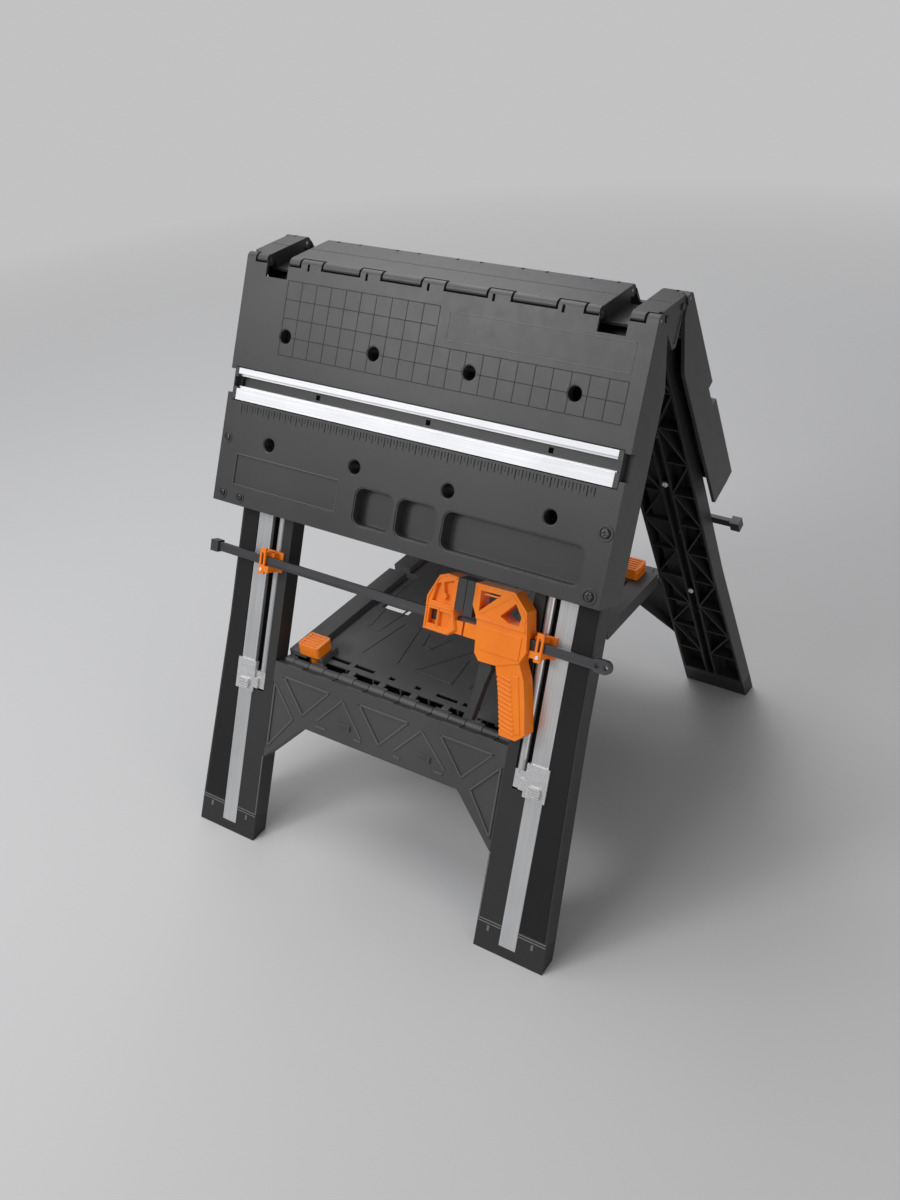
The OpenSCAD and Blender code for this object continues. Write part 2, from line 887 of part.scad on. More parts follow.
module cross_outline() {
  polygon([
    [-leg_inner_x, -cross_v0], [leg_inner_x, -cross_v0], [leg_inner_x, -gusset_v],
    [gusset_x, -cross_v1], [-gusset_x, -cross_v1], [-leg_inner_x, -gusset_v]
  ]);
}

module cross_rim() {
  polygon([
    [-leg_inner_x, -gusset_v], [-gusset_x, -cross_v1], [gusset_x, -cross_v1],
    [leg_inner_x, -gusset_v], [leg_inner_x, -gusset_v + 5], [gusset_x - 1.5, -cross_v1 + 3.5],
    [-gusset_x + 1.5, -cross_v1 + 3.5], [-leg_inner_x, -gusset_v + 5]
  ]);
}

// Raised strip with a turned-down end, two of which hold a tool on the cross panel
module tool_hook(x) {
  v = shelf_pin_v + 57;
  leg_slab(x - 5, x + 18, v, v + 3, -1, 2.5);
  leg_slab(x + 14, x + 18, v, v + 8, -1, 2.5);
}

module cross_panel() {
  v0 = shelf_pin_v + 20;
  v1 = shelf_pin_v + 68;
  color(plastic)
    leg_frame()
      difference() {
        union() {
          leg_plate(-4, 0)
            cross_outline();
          leg_plate(-20, 0)
            cross_rim();
          leg_slab(-leg_inner_x, leg_inner_x, cross_v0, cross_v0 + 4, -11.5, 0);
          for (x = [-138, -92, -46, 0, 46, 92, 138])
            leg_slab(x - 1.5, x + 1.5, cross_v0 + 1, cross_v1 - 1, -11.5, -1);
          for (i = leg_knuckles) {
            translate([i * shelf_pitch, shelf_pin_in, -shelf_pin_v])
              x_rod(-leg_knuckle_l / 2, leg_knuckle_l / 2, shelf_knuckle_r);
            leg_slab(i * shelf_pitch - leg_knuckle_l / 2, i * shelf_pitch + leg_knuckle_l / 2,
              shelf_pin_v, shelf_pin_v + shelf_knuckle_r, -leg_face - shelf_pin_in, -1);
          }
          for (x = [-70.5, 70.5])
            tool_hook(x);
        }
        translate([0, shelf_pin_in, -shelf_pin_v])
          x_rod(-leg_inner_x - 1, leg_inner_x + 1, shelf_pin_r + pin_fit);
        // Shallow triangles in the outer face
        leg_plate(-0.8, 1) {
          for (x = [-141, 0, 141])
            polygon([[x - 43, -v0], [x + 43, -v0], [x, -v1]]);
          for (x = [-203, 203])
            polygon([
              [x, -v0 - 12], [x - sign(x) * 46, -v1 - 12], [x, -gusset_v + 16]
            ]);
        }
      }
}

module front_cross_panel() {
  cross_panel();
}

module rear_cross_panel() {
  rotate([0, 0, 180])
    cross_panel();
}

module shelf_pin() {
  color(steel)
    leg_frame()
      translate([0, shelf_pin_in, -shelf_pin_v])
        x_rod(-leg_inner_x, leg_inner_x, shelf_pin_r);
}

module front_shelf_pin() {
  shelf_pin();
}

module rear_shelf_pin() {
  rotate([0, 0, 180])
    shelf_pin();
}

// Braces and latches
brace_in = brace_d / 2 + 0.5;

module brace() {
  color(aluminium)
    leg_frame()
      translate([brace_x, -leg_face + brace_in, -brace_end_v])
        difference() {
          cylinder(r = brace_d / 2, h = brace_l);
          translate([0, 0, -1])
            cylinder(r = brace_d / 2 - 1.5, h = brace_l + 2);
        }
}

module front_right_brace() {
  brace();
}

module front_left_brace() {
  mirror([1, 0, 0])
    brace();
}

module rear_right_brace() {
  rotate([0, 0, 180])
    front_left_brace();
}

module rear_left_brace() {
  rotate([0, 0, 180])
    brace();
}

module latch() {
  v1 = latch_v0 + latch_h;
  left = track_x - latch_w / 2;
  right = track_x + latch_w / 2;
  arm_in = recess_in + 0.5;
  color(aluminium)
    leg_frame()
      difference() {
        union() {
          leg_slab(left, right, latch_v0, v1, slide_fit, slide_fit + 3);
          // Lips over both sides of the track
          leg_slab(left, groove_in - 0.5, latch_v0, v1 - 6, -4, slide_fit + 1);
          leg_slab(groove_out + 0.7, right, latch_v0, v1, -4, slide_fit + 1);
          // Arm with the socket for the brace
          leg_slab(arm_in, left + 1, brace_end_v - 6, brace_end_v + 20, -14, -0.5);
          leg_slab(arm_in + 10, left + 2, brace_end_v + 4, brace_end_v + 20, -1, slide_fit + 3);
          // Thumb tab
          leg_plate(slide_fit + 2, slide_fit + 8)
            translate([track_x, -v1 + 12])
              rounded(20, 14, 3);
        }
        translate([brace_x, -leg_face + brace_in, -brace_end_v])
          cylinder(r = brace_d / 2 + pin_fit, h = 20);
        leg_plate(slide_fit + 6, slide_fit + 9)
          for (i = [-1, 0, 1])
            translate([track_x, -v1 + 12 + 3.5 * i])
              square([21, 1.2], center = true);
      }
}

module front_right_latch() {
  latch();
}

module front_left_latch() {
  mirror([1, 0, 0])
    latch();
}

module rear_right_latch() {
  rotate([0, 0, 180])
    front_left_latch();
}

module rear_left_latch() {
  rotate([0, 0, 180])
    latch();
}

// Shelf
module shelf_slab(x0, x1, y0, y1, z0, z1) {
  translate([x0, y0, shelf_pin_z + z0])
    cube([x1 - x0, y1 - y0, z1 - z0]);
}

root_y = -finger_reach - finger_gap;
edge_y = -(shelf_pin_y - shelf_knuckle_r - 1);

// Front half of the shelf. Its fingers reach past the middle between the rear half's fingers.
module shelf_half() {
  rim_x = shelf_x - rim_w;
  floor_z = floor_top;
  difference() {
    union() {
      // Floor, edge walls and ribs of the full-width part
      shelf_slab(-shelf_x, shelf_x, edge_y, root_y, floor_z - shelf_wall, floor_z);
      shelf_slab(-shelf_x, shelf_x, edge_y, edge_y + shelf_wall, -shelf_down, floor_z);
      shelf_slab(-shelf_x, shelf_x, root_y - shelf_wall, root_y, -shelf_down, floor_z);
      for (i = [1:7])
        shelf_slab(-shelf_x + i * finger_w - 1.25, -shelf_x + i * finger_w + 1.25,
          edge_y, root_y, -shelf_down, floor_z - 1);
      for (y = [-160, -108])
        shelf_slab(-shelf_x, shelf_x, y - 1.25, y + 1.25, -shelf_down + 2, floor_z - 1);
      // Raised rims
      for (x0 = [-shelf_x, rim_x]) {
        shelf_slab(x0, x0 + rim_w, edge_y, root_y, shelf_up - shelf_wall, shelf_up);
        for (x = [x0, x0 + rim_w - shelf_wall])
          shelf_slab(x, x + shelf_wall, edge_y, root_y, -shelf_down, shelf_up);
        for (y = [edge_y, root_y - shelf_wall])
          shelf_slab(x0, x0 + rim_w, y, y + shelf_wall, floor_z - 1, shelf_up);
      }
      // Corner platforms for the bench dogs
      for (x0 = [-rim_x - 1, rim_x - 31]) {
        shelf_slab(x0, x0 + 32, edge_y, edge_y + 38, shelf_up - 4, shelf_up);
        shelf_slab(x0, x0 + 32, edge_y + 35, edge_y + 38, floor_z - 1, shelf_up);
      }
      for (x0 = [-rim_x + 28, rim_x - 31])
        shelf_slab(x0, x0 + 3, edge_y, edge_y + 38, floor_z - 1, shelf_up);
      // Fingers
      for (i = [0:2:7])
        finger(i == 0 ? -rim_x + 0.5 : -shelf_x + i * finger_w + finger_gap / 2,
          -shelf_x + (i + 1) * finger_w - finger_gap / 2);
      rim_finger();
      // Knuckles
      for (i = shelf_knuckles)
        shelf_knuckle(i * shelf_pitch - (shelf_pitch - leg_knuckle_l) / 2 + knuckle_gap,
          i * shelf_pitch + (shelf_pitch - leg_knuckle_l) / 2 - knuckle_gap);
      shelf_knuckle(3 * shelf_pitch + leg_knuckle_l / 2 + knuckle_gap, shelf_x);
      shelf_knuckle(-shelf_x, -3 * shelf_pitch - leg_knuckle_l / 2 - knuckle_gap);
    }
    translate([0, -shelf_pin_y, shelf_pin_z])
      x_rod(-shelf_x - 1, shelf_x + 1, shelf_pin_r + pin_fit);
    // Windows behind the leg frame's knuckles
    for (i = leg_knuckles)
      shelf_slab(i * shelf_pitch - 22.5, i * shelf_pitch + 22.5, edge_y - 1, edge_y + 9,
        -shelf_down - 1, floor_z + 1);
    // Slots in the floor
    for (x = [-118, -73, -23, 23, 73, 118])
      shelf_slab(x - (abs(x) < 30 ? 5 : 18), x + (abs(x) < 30 ? 5 : 18),
        edge_y + 18, edge_y + 26, floor_z - 6, floor_z + 1);
    // Hole for the stored bench dog's peg
    translate([-dog_x, -dog_y, shelf_pin_z - shelf_down - 1])
      cylinder(r = dog_peg_r + 0.1, h = 40);
  }
}

module finger(x0, x1) {
  shelf_slab(x0, x1, root_y - 1, finger_reach - finger_back, floor_top - shelf_wall, floor_top);
  for (x = [x0, x1 - 2.5])
    shelf_slab(x, x + 2.5, root_y - 1, -4, 0, floor_top);
}

// Rim along the outermost finger, with a web that passes beside the other half's rim
module rim_finger() {
  tip = finger_reach - finger_back;
  web_x = -shelf_x + rim_w + 0.5;
  shelf_slab(-shelf_x, web_x + 1, root_y - 1, tip, shelf_up - shelf_wall, shelf_up);
  shelf_slab(web_x, web_x + 2, root_y - 1, tip, floor_top - 1, shelf_up);
}

module shelf_knuckle(x0, x1) {
  translate([0, -shelf_pin_y, shelf_pin_z]) {
    x_rod(x0, x1, shelf_knuckle_r);
    translate([x0, 0, -shelf_knuckle_r + 1])
      cube([x1 - x0, shelf_knuckle_r + 2, 2 * shelf_knuckle_r - 2]);
  }
}

module front_shelf() {
  color(plastic)
    shelf_half();
}

module rear_shelf() {
  rotate([0, 0, 180])
    front_shelf();
}

// Bench dogs
dog_x = shelf_x - 39;
dog_y = shelf_pin_y - 22;

module dog() {
  color(orange)
    translate([-dog_x, -dog_y, shelf_pin_z + shelf_up]) {
      difference() {
        linear_extrude(dog_h)
          rounded(dog_l, dog_w, 5);
        for (i = [-2, -1, 0, 1, 2])
          translate([-dog_l / 2 + 5, i * 6 - 1.2, dog_h - 1.5])
            cube([dog_l - 10, 2.4, 3]);
        translate([-dog_l / 2 - 1, -dog_w, 5])
          cube([4, 2 * dog_w, 5]);
      }
      translate([0, 0, -18])
        cylinder(r = dog_peg_r, h = 19);
    }
}

module front_left_dog() {
  dog();
}

module rear_right_dog() {
  rotate([0, 0, 180])
    dog();
}

// Bar holders and clamps
bar_w1 = bar_out + bar_t;
bar_top = bar_h / 2;
trigger_x = 163;
trigger_z = -37;

// Frame of a stored clamp: the middle of its bar runs along X at z = 0
module clamp_frame() {
  leg_frame()
    translate([0, 0, -bar_v])
      children();
}

// Block in the clamp's frame, from z0 to z1 and from w0 to w1 out of the leg's face
module clamp_slab(x0, x1, z0, z1, w0, w1) {
  translate([x0, -leg_face - w1, z0])
    cube([x1 - x0, w1 - w0, z1 - z0]);
}

module holder() {
  x = holder_x;
  difference() {
    union() {
      clamp_slab(x - 18, x + 18, -16, 14, 0, 3);
      clamp_slab(x - 9, x + 9, -16, 12, 2, bar_out - slide_fit);
      clamp_slab(x - 9, x + 9, -16, -bar_top - slide_fit, bar_out - 2, bar_w1 + 4);
      clamp_slab(x - 1, x + 9, -20, 19, bar_w1 + slide_fit, bar_w1 + 4);
    }
    clamp_slab(x + 2, x + 6, -6, 12, bar_w1 - 1, bar_w1 + 6);
    clamp_slab(x - 5, x + 5, -12, 8, 4, bar_out - 4);
  }
  translate([x + 4, -leg_face - bar_w1 - 4, -13])
    rotate([90, 0, 0])
      cylinder(r = 2.5, h = 1);
}

module bar_holders() {
  color(orange)
    clamp_frame()
      for (side = [0, 1])
        mirror([side, 0, 0])
          holder();
}

module front_bar_holders() {
  bar_holders();
}

module rear_bar_holders() {
  rotate([0, 0, 180])
    bar_holders();
}

// Steel bar with a cross head at its left end and an eye with two holes at its right end
module clamp_bar() {
  eye_x = bar_half + 3.5;
  color(dark)
    clamp_frame() {
      clamp_slab(-bar_half - 5, bar_half - 7, -bar_top, bar_top, bar_out, bar_w1);
      clamp_slab(-bar_half - 18, -bar_half - 4, -bar_top - 2, bar_top + 2, bar_out - 4, bar_w1 + 4);
      leg_plate(bar_out - 1, bar_w1 + 1)
        difference() {
          translate([eye_x, 0])
            rounded(27, 18, 8.5);
          for (side = [-1, 1])
            translate([eye_x + side * 6.5, 0])
              circle(3.2);
        }
    }
}

// Room for the bar in the parts that ride on it
module bar_room(x0, x1) {
  clamp_slab(x0, x1, -bar_top - slide_fit, bar_top + slide_fit,
    bar_out - slide_fit, bar_w1 + slide_fit);
}

module handle_outline() {
  difference() {
    polygon([
      [131, 61], [190, 62.5], [211.5, 42], [216.6, 15], [220, -10], [212, -27],
      [180, -39], [153, -40], [145, -31], [140.6, 13], [131, 31]
    ]);
    polygon([[140, 53], [171, 54], [141.5, 25]]);
    polygon([[174, 27], [194, 49], [205, 33], [203, 21], [188, 21]]);
  }
}

module grip_outline() {
  difference() {
    polygon([
      [178.5, -37], [212, -25], [223, -47], [230, -76], [238, -117], [226, -129],
      [201, -128.5], [190, -77]
    ]);
    for (i = [0:11])
      translate([182.5 + i * 1.45, -53 - i * 6])
        rotate(-12)
          square([4, 2.5], center = true);
  }
}

module clamp_handle() {
  color(orange)
    clamp_frame() {
      difference() {
        union() {
          leg_plate(3.5, bar_w1 + 9.5)
            handle_outline();
          leg_plate(3.5, bar_w1 + 8.5)
            grip_outline();
          clamp_slab(122, 146, -15, 4, 8, bar_w1 + 6);
          // Rib under the openings and a small boss on it
          clamp_slab(139, 214, 15, 18, bar_w1 + 9, bar_w1 + 11);
          leg_plate(bar_w1 + 9, bar_w1 + 10.5)
            translate([209, 30])
              circle(3.5);
        }
        bar_room(100, 240);
        // Room for the trigger
        clamp_slab(trigger_x - 14, trigger_x + 14, trigger_z - 6, trigger_z + 7, 8.5, 23.5);
      }
      translate([trigger_x, -leg_face - 3.5, trigger_z])
        rotate([90, 0, 0])
          cylinder(r = 2, h = bar_w1 + 6);
    }
}

module clamp_pad() {
  color(dark)
    clamp_frame()
      clamp_slab(117.5, 131, 13, 61, 5, bar_w1 + 8);
}

module jaw_outline() {
  polygon([
    [74, 57], [86, 62], [103.5, 61], [103.5, 15], [111, -10], [100, -20],
    [60, -20], [60, 7], [59, 25]
  ]);
}

module clamp_jaw() {
  color(orange)
    clamp_frame()
      difference() {
        union() {
          leg_plate(4, bar_w1 + 9)
            jaw_outline();
          clamp_slab(104, 119, -15, 3, 8, bar_w1 + 6);
        }
        bar_room(40, 130);
        // Recess in the jaw's web, round a spine and a boss
        difference() {
          leg_plate(bar_w1 + 4, bar_w1 + 10)
            polygon([[72, 45], [98, 55], [98.5, 21], [68, 21]]);
          leg_plate(bar_w1 + 3, bar_w1 + 11) {
            polygon([[77, 56], [81, 56], [86, 32], [82, 32]]);
            translate([85, 31])
              circle(4.5);
          }
        }
        clamp_slab(66, 79, -11, 10, bar_w1 - 1, bar_w1 + 10);
        clamp_slab(83, 101, -11, 9, bar_w1 + 5, bar_w1 + 10);
      }
}

module clamp_jaw_pad() {
  color(dark)
    clamp_frame()
      clamp_slab(103.5, 116.5, 17, 61, 5, bar_w1 + 8);
}

module clamp_trigger() {
  color(dark)
    clamp_frame()
      leg_plate(9.5, 22.5)
        translate([trigger_x, trigger_z])
          difference() {
            polygon([
              [-5.5, 1], [-2.5, 5], [2.5, 5], [5.5, 1], [8, -11], [2, -32], [-9, -87],
              [-23, -88], [-14, -53], [-11, -9]
            ]);
            circle(2 + pin_fit);
          }
}

module front_clamp_bar() {
  clamp_bar();
}

module front_clamp_handle() {
  clamp_handle();
}

module front_clamp_pad() {
  clamp_pad();
}

module front_clamp_jaw() {
  clamp_jaw();
}

module front_clamp_jaw_pad() {
  clamp_jaw_pad();
}

module front_clamp_trigger() {
  clamp_trigger();
}

module rear_clamp_bar() {
  rotate([0, 0, 180])
    clamp_bar();
}

module rear_clamp_handle() {
  rotate([0, 0, 180])
    clamp_handle();
}

module rear_clamp_pad() {
  rotate([0, 0, 180])
    clamp_pad();
}

module rear_clamp_jaw() {
  rotate([0, 0, 180])
    clamp_jaw();
}

module rear_clamp_jaw_pad() {
  rotate([0, 0, 180])
    clamp_jaw_pad();
}

module rear_clamp_trigger() {
  rotate([0, 0, 180])
    clamp_trigger();
}

// Drawing
ridge_beam();
ridge_left_end_plate();
ridge_right_end_plate();
ridge_end_bolts();
front_panel_hinge_pins();
rear_panel_hinge_pins();
leg_pivot_pins();
front_panel();
front_upper_rail();
front_lower_rail();
front_rail_clips();
front_panel_screws();
rear_panel();
rear_upper_rail();
rear_lower_rail();
rear_rail_clips();
rear_panel_screws();
front_left_leg();
front_right_leg();
front_cross_panel();
front_leg_tracks();
front_feet();
front_leg_screws();
front_shelf_pin();
front_bar_holders();
rear_left_leg();
rear_right_leg();
rear_cross_panel();
rear_leg_tracks();
rear_feet();
rear_leg_screws();
rear_shelf_pin();
rear_bar_holders();
front_left_brace();
front_right_brace();
rear_left_brace();
rear_right_brace();
front_left_latch();
front_right_latch();
rear_left_latch();
rear_right_latch();
front_shelf();
rear_shelf();
front_left_dog();
rear_right_dog();
front_clamp_bar();
front_clamp_handle();
front_clamp_pad();
front_clamp_jaw();
front_clamp_jaw_pad();
front_clamp_trigger();
rear_clamp_bar();
rear_clamp_handle();
rear_clamp_pad();
rear_clamp_jaw();
rear_clamp_jaw_pad();
rear_clamp_trigger();
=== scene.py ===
# Folding workbench: materials, small relief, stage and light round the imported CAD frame
import math

import bpy
import bmesh
from mathutils import Matrix, Vector


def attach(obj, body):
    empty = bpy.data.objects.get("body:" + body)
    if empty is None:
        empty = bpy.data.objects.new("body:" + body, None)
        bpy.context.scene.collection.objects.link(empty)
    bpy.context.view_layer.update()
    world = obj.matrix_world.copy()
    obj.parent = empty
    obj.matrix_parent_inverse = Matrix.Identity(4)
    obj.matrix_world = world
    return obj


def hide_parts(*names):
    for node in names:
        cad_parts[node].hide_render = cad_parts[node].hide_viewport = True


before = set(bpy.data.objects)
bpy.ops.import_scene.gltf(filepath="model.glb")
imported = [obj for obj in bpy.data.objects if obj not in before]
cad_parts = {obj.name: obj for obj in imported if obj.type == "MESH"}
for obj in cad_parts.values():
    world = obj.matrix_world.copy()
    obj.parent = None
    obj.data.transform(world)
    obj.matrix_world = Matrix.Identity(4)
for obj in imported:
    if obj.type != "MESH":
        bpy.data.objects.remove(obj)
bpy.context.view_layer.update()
print("frame loaded with", len(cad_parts), "nodes")

# Where the panels and the legs stand, as in the part's source
panelPlace = {"hingeY": 0.040001, "hingeZ": 0.805, "slope": 26.0, "knuckle": 0.008, "edge": 0.004999}
legPlace = {"pivotY": 0.014, "pivotZ": 0.765, "slope": 23.5, "face": 0.0135}
halfTurn = Matrix.Rotation(math.pi, 4, "Z")


def panelMatrix(side):
    place = Matrix.Translation((0, -panelPlace["hingeY"], panelPlace["hingeZ"]))
    place = place @ Matrix.Rotation(math.radians(90 - panelPlace["slope"]), 4, "X")
    return place if side == "front" else halfTurn @ place


def legMatrix(side):
    place = Matrix.Translation((0, -legPlace["pivotY"], legPlace["pivotZ"]))
    place = place @ Matrix.Rotation(math.radians(-legPlace["slope"]), 4, "X")
    return place if side == "front" else halfTurn @ place


def sideMatrix(side):
    return Matrix.Identity(4) if side == "front" else halfTurn


# Camera at the photo's angle
camera = {
    "azimuth": 36.55, "elevation": 33.25, "roll": -5.02, "distance": 1.948209,
    "target": (-0.052208, 0.0, 0.280453), "focalPixels": 1249.709, "frameHeight": 1200, "sensor": 36.0,
}


def addCamera():
    azimuth, elevation, roll = (math.radians(camera[key]) for key in ("azimuth", "elevation", "roll"))
    back = Vector((
        math.sin(azimuth) * math.cos(elevation), -math.cos(azimuth) * math.cos(elevation), math.sin(elevation)))
    right = Vector((math.cos(azimuth), math.sin(azimuth), 0))
    up = back.cross(right)
    turnedRight = right * math.cos(roll) + up * math.sin(roll)
    turnedUp = up * math.cos(roll) - right * math.sin(roll)
    spot = Vector(camera["target"]) + back * camera["distance"]
    deselectAll()
    bpy.ops.object.camera_add(location=spot)
    cameraObject = bpy.context.object
    cameraObject.matrix_world = Matrix((
        (turnedRight.x, turnedUp.x, back.x, spot.x),
        (turnedRight.y, turnedUp.y, back.y, spot.y),
        (turnedRight.z, turnedUp.z, back.z, spot.z),
        (0, 0, 0, 1),
    ))
    cameraObject.data.sensor_fit = "VERTICAL"
    cameraObject.data.sensor_height = camera["sensor"]
    cameraObject.data.lens = camera["focalPixels"] * camera["sensor"] / camera["frameHeight"]
    bpy.context.scene.camera = cameraObject


def deselectAll():
    bpy.ops.object.select_all(action="DESELECT")


def activate(piece):
    deselectAll()
    piece.select_set(True)
    bpy.context.view_layer.objects.active = piece


# Modelling helpers
def applyTransform():
    bpy.ops.object.transform_apply(location=True, rotation=True, scale=True)


def bevelAll(offset, segments):
    # Every edge of the active piece
    bpy.ops.object.mode_set(mode="EDIT")
    bpy.ops.mesh.select_all(action="SELECT")
    bpy.ops.mesh.bevel(offset=offset, segments=segments, affect="EDGES")
    bpy.ops.object.mode_set(mode="OBJECT")


def addBlock(centre, size, bevel=0.0, segments=2):
    deselectAll()
    bpy.ops.mesh.primitive_cube_add(size=1, location=centre)
    block = bpy.context.object
    block.scale = size
    applyTransform()
    if bevel:
        bevelAll(bevel, segments)
    return block


def addRow(piece, count, step):
    activate(piece)
    row = piece.modifiers.new("row", "ARRAY")
    row.count = count
    row.use_relative_offset = False
    row.use_constant_offset = True
    row.constant_offset_displace = step
    bpy.ops.object.modifier_apply(modifier=row.name)
    return piece


def joinPieces(parts, name):
    deselectAll()
    for part in parts:
        part.select_set(True)
    bpy.context.view_layer.objects.active = parts[0]
    if len(parts) > 1:
        bpy.ops.object.join()
    joined = bpy.context.view_layer.objects.active
    joined.name = name
    joined.data.name = name
    return joined


def removePieces(*pieces):
    deselectAll()
    for piece in pieces:
        piece.select_set(True)
    bpy.ops.object.delete()


def putAt(piece, place):
    # The place goes into the mesh, so that the object stays at the origin
    activate(piece)
    piece.matrix_world = place @ piece.matrix_world
    applyTransform()
    return piece


def copyPiece(piece, name, place):
    deselectAll()
    twin = piece.copy()
    twin.data = piece.data.copy()
    twin.name = name
    twin.data.name = name
    bpy.context.collection.objects.link(twin)
    return putAt(twin, place)


def addStrip(start, end, width, top, bottom, bevel=0.0002):
    # Thin bar between two points drawn in a plane, raised from bottom to top and a little longer than the line
    run = Vector(end) - Vector(start)
    middle = (Vector(start) + Vector(end)) / 2
    deselectAll()
    bpy.ops.mesh.primitive_cube_add(size=1, location=(0, 0, 0))
    strip = bpy.context.object
    strip.scale = (run.length + width * 0.6, width, top - bottom)
    applyTransform()
    bevelAll(bevel, 1)
    strip.rotation_euler = (0, 0, math.atan2(run.y, run.x))
    strip.location = (middle.x, middle.y, (top + bottom) / 2)
    applyTransform()
    return strip


def selectTop(piece):
    # Goes into edit mode with the faces that look up selected
    bpy.ops.object.mode_set(mode="EDIT")
    mesh = bmesh.from_edit_mesh(piece.data)
    for face in mesh.faces:
        face.select_set(face.normal.z > 0.9)
    bmesh.update_edit_mesh(piece.data)


# Materials
def linear(red, green, blue):
    def channel(value):
        value /= 255
        return value / 12.92 if value <= 0.04045 else ((value + 0.055) / 1.055) ** 2.4
    return (channel(red), channel(green), channel(blue), 1.0)


def startMaterial(name):
    material = bpy.data.materials.new(name)
    material.use_nodes = True
    tree = material.node_tree
    shader = tree.nodes["Principled BSDF"]
    coords = tree.nodes.new("ShaderNodeTexCoord")
    return material, tree, shader, coords


def addNoise(tree, vector, scale, detail=3.0, roughness=0.55):
    noise = tree.nodes.new("ShaderNodeTexNoise")
    noise.inputs["Scale"].default_value = scale
    noise.inputs["Detail"].default_value = detail
    noise.inputs["Roughness"].default_value = roughness
    tree.links.new(vector, noise.inputs["Vector"])
    return noise.outputs["Fac"]


def addRange(tree, value, low, high, toLow, toHigh):
    remap = tree.nodes.new("ShaderNodeMapRange")
    remap.inputs["From Min"].default_value = low
    remap.inputs["From Max"].default_value = high
    remap.inputs["To Min"].default_value = toLow
    remap.inputs["To Max"].default_value = toHigh
    tree.links.new(value, remap.inputs["Value"])
    return remap.outputs["Result"]


def addMix(tree, factor, first, second):
    mix = tree.nodes.new("ShaderNodeMix")
    mix.data_type = "RGBA"
    for socket, value in ((mix.inputs[0], factor), (mix.inputs[6], first), (mix.inputs[7], second)):
        if isinstance(value, (tuple, float)):
            socket.default_value = value
        else:
            tree.links.new(value, socket)
    return mix.outputs[2]


edgeShade = {"samples": 4, "flat": 0.995, "turned": 0.75}


def addEdge(tree, radius):
    # Rounded shading normal at sharp edges, and how far it turns away from the flat one
    bevel = tree.nodes.new("ShaderNodeBevel")
    bevel.samples = edgeShade["samples"]
    bevel.inputs["Radius"].default_value = radius
    geometry = tree.nodes.new("ShaderNodeNewGeometry")
    dot = tree.nodes.new("ShaderNodeVectorMath")
    dot.operation = "DOT_PRODUCT"
    tree.links.new(bevel.outputs["Normal"], dot.inputs[0])
    tree.links.new(geometry.outputs["Normal"], dot.inputs[1])
    edge = addRange(tree, dot.outputs["Value"], edgeShade["flat"], edgeShade["turned"], 0.0, 1.0)
    return bevel.outputs["Normal"], edge


def addBump(tree, shader, height, normal, distance, strength):
    bump = tree.nodes.new("ShaderNodeBump")
    bump.inputs["Distance"].default_value = distance
    bump.inputs["Strength"].default_value = strength
    tree.links.new(height, bump.inputs["Height"])
    tree.links.new(normal, bump.inputs["Normal"])
    tree.links.new(bump.outputs["Normal"], shader.inputs["Normal"])


# What all plastics and all metals share: noise, the part of it that counts, and how far it changes the look
plasticSurface = {
    "cloudDetail": 4.0, "cloudRange": (0.3, 0.7), "grainDetail": 2.0, "grainStrength": 0.6,
    "scuffScale": 55.0, "scuffDetail": 6.0, "scuffRoughness": 0.7, "wearAndHighlightRange": (0.35, 0.7), "leastWearAndHighlight": 0.3,
    "roughRange": (0.3, 0.7), "smoother": 0.03, "rougher": 0.04,
}
metalSurface = {
    "streakScale": 1.0, "streakDetail": 3.0, "streakRoughness": 0.6, "streakRange": (0.3, 0.7),
    "streakDepth": 0.00006, "streakStrength": 0.5, "cloudScale": 12.0, "cloudDetail": 4.0,
    "cloudRange": (0.35, 0.75), "dullShare": 0.35, "edgeRadius": 0.0005, "edgeHighlightShare": 0.6,
    "roughRange": (0.25, 0.75), "smoother": 0.06, "rougher": 0.08,
}


def linkRoughness(tree, shader, noise, surface, rough):
    value = addRange(tree, noise, *surface["roughRange"], rough - surface["smoother"], rough + surface["rougher"])
    tree.links.new(value, shader.inputs["Roughness"])


def mouldedPlastic(name, look):
    surface = plasticSurface
    material, tree, shader, coords = startMaterial(name)
    place = coords.outputs["Object"]
    cloud = addNoise(tree, place, look["cloudScale"], surface["cloudDetail"])
    grain = addNoise(tree, place, look["grainScale"], surface["grainDetail"])
    scuff = addNoise(tree, place, surface["scuffScale"], surface["scuffDetail"], surface["scuffRoughness"])
    normal, edge = addEdge(tree, look["edgeRadius"])
    body = addMix(tree, addRange(tree, cloud, *surface["cloudRange"], 0.0, 1.0), look["colour"], look["paler"])
    # Lighter colour on sharp edges, broken up by scuff noise: partly real edge wear, partly a painted highlight along
    # the edges
    wearAndHighlight = addRange(tree, scuff, *surface["wearAndHighlightRange"], look["wearAndHighlight"] * surface["leastWearAndHighlight"], look["wearAndHighlight"])
    wearAndHighlightMask = tree.nodes.new("ShaderNodeMath")
    wearAndHighlightMask.operation = "MULTIPLY"
    tree.links.new(edge, wearAndHighlightMask.inputs[0])
    tree.links.new(wearAndHighlight, wearAndHighlightMask.inputs[1])
    tree.links.new(addMix(tree, wearAndHighlightMask.outputs["Value"], body, look["wearAndHighlightColour"]), shader.inputs["Base Color"])
    linkRoughness(tree, shader, scuff, surface, look["rough"])
    shader.inputs["IOR"].default_value = look["ior"]
    addBump(tree, shader, grain, normal, look["grainDepth"], surface["grainStrength"])
    return material


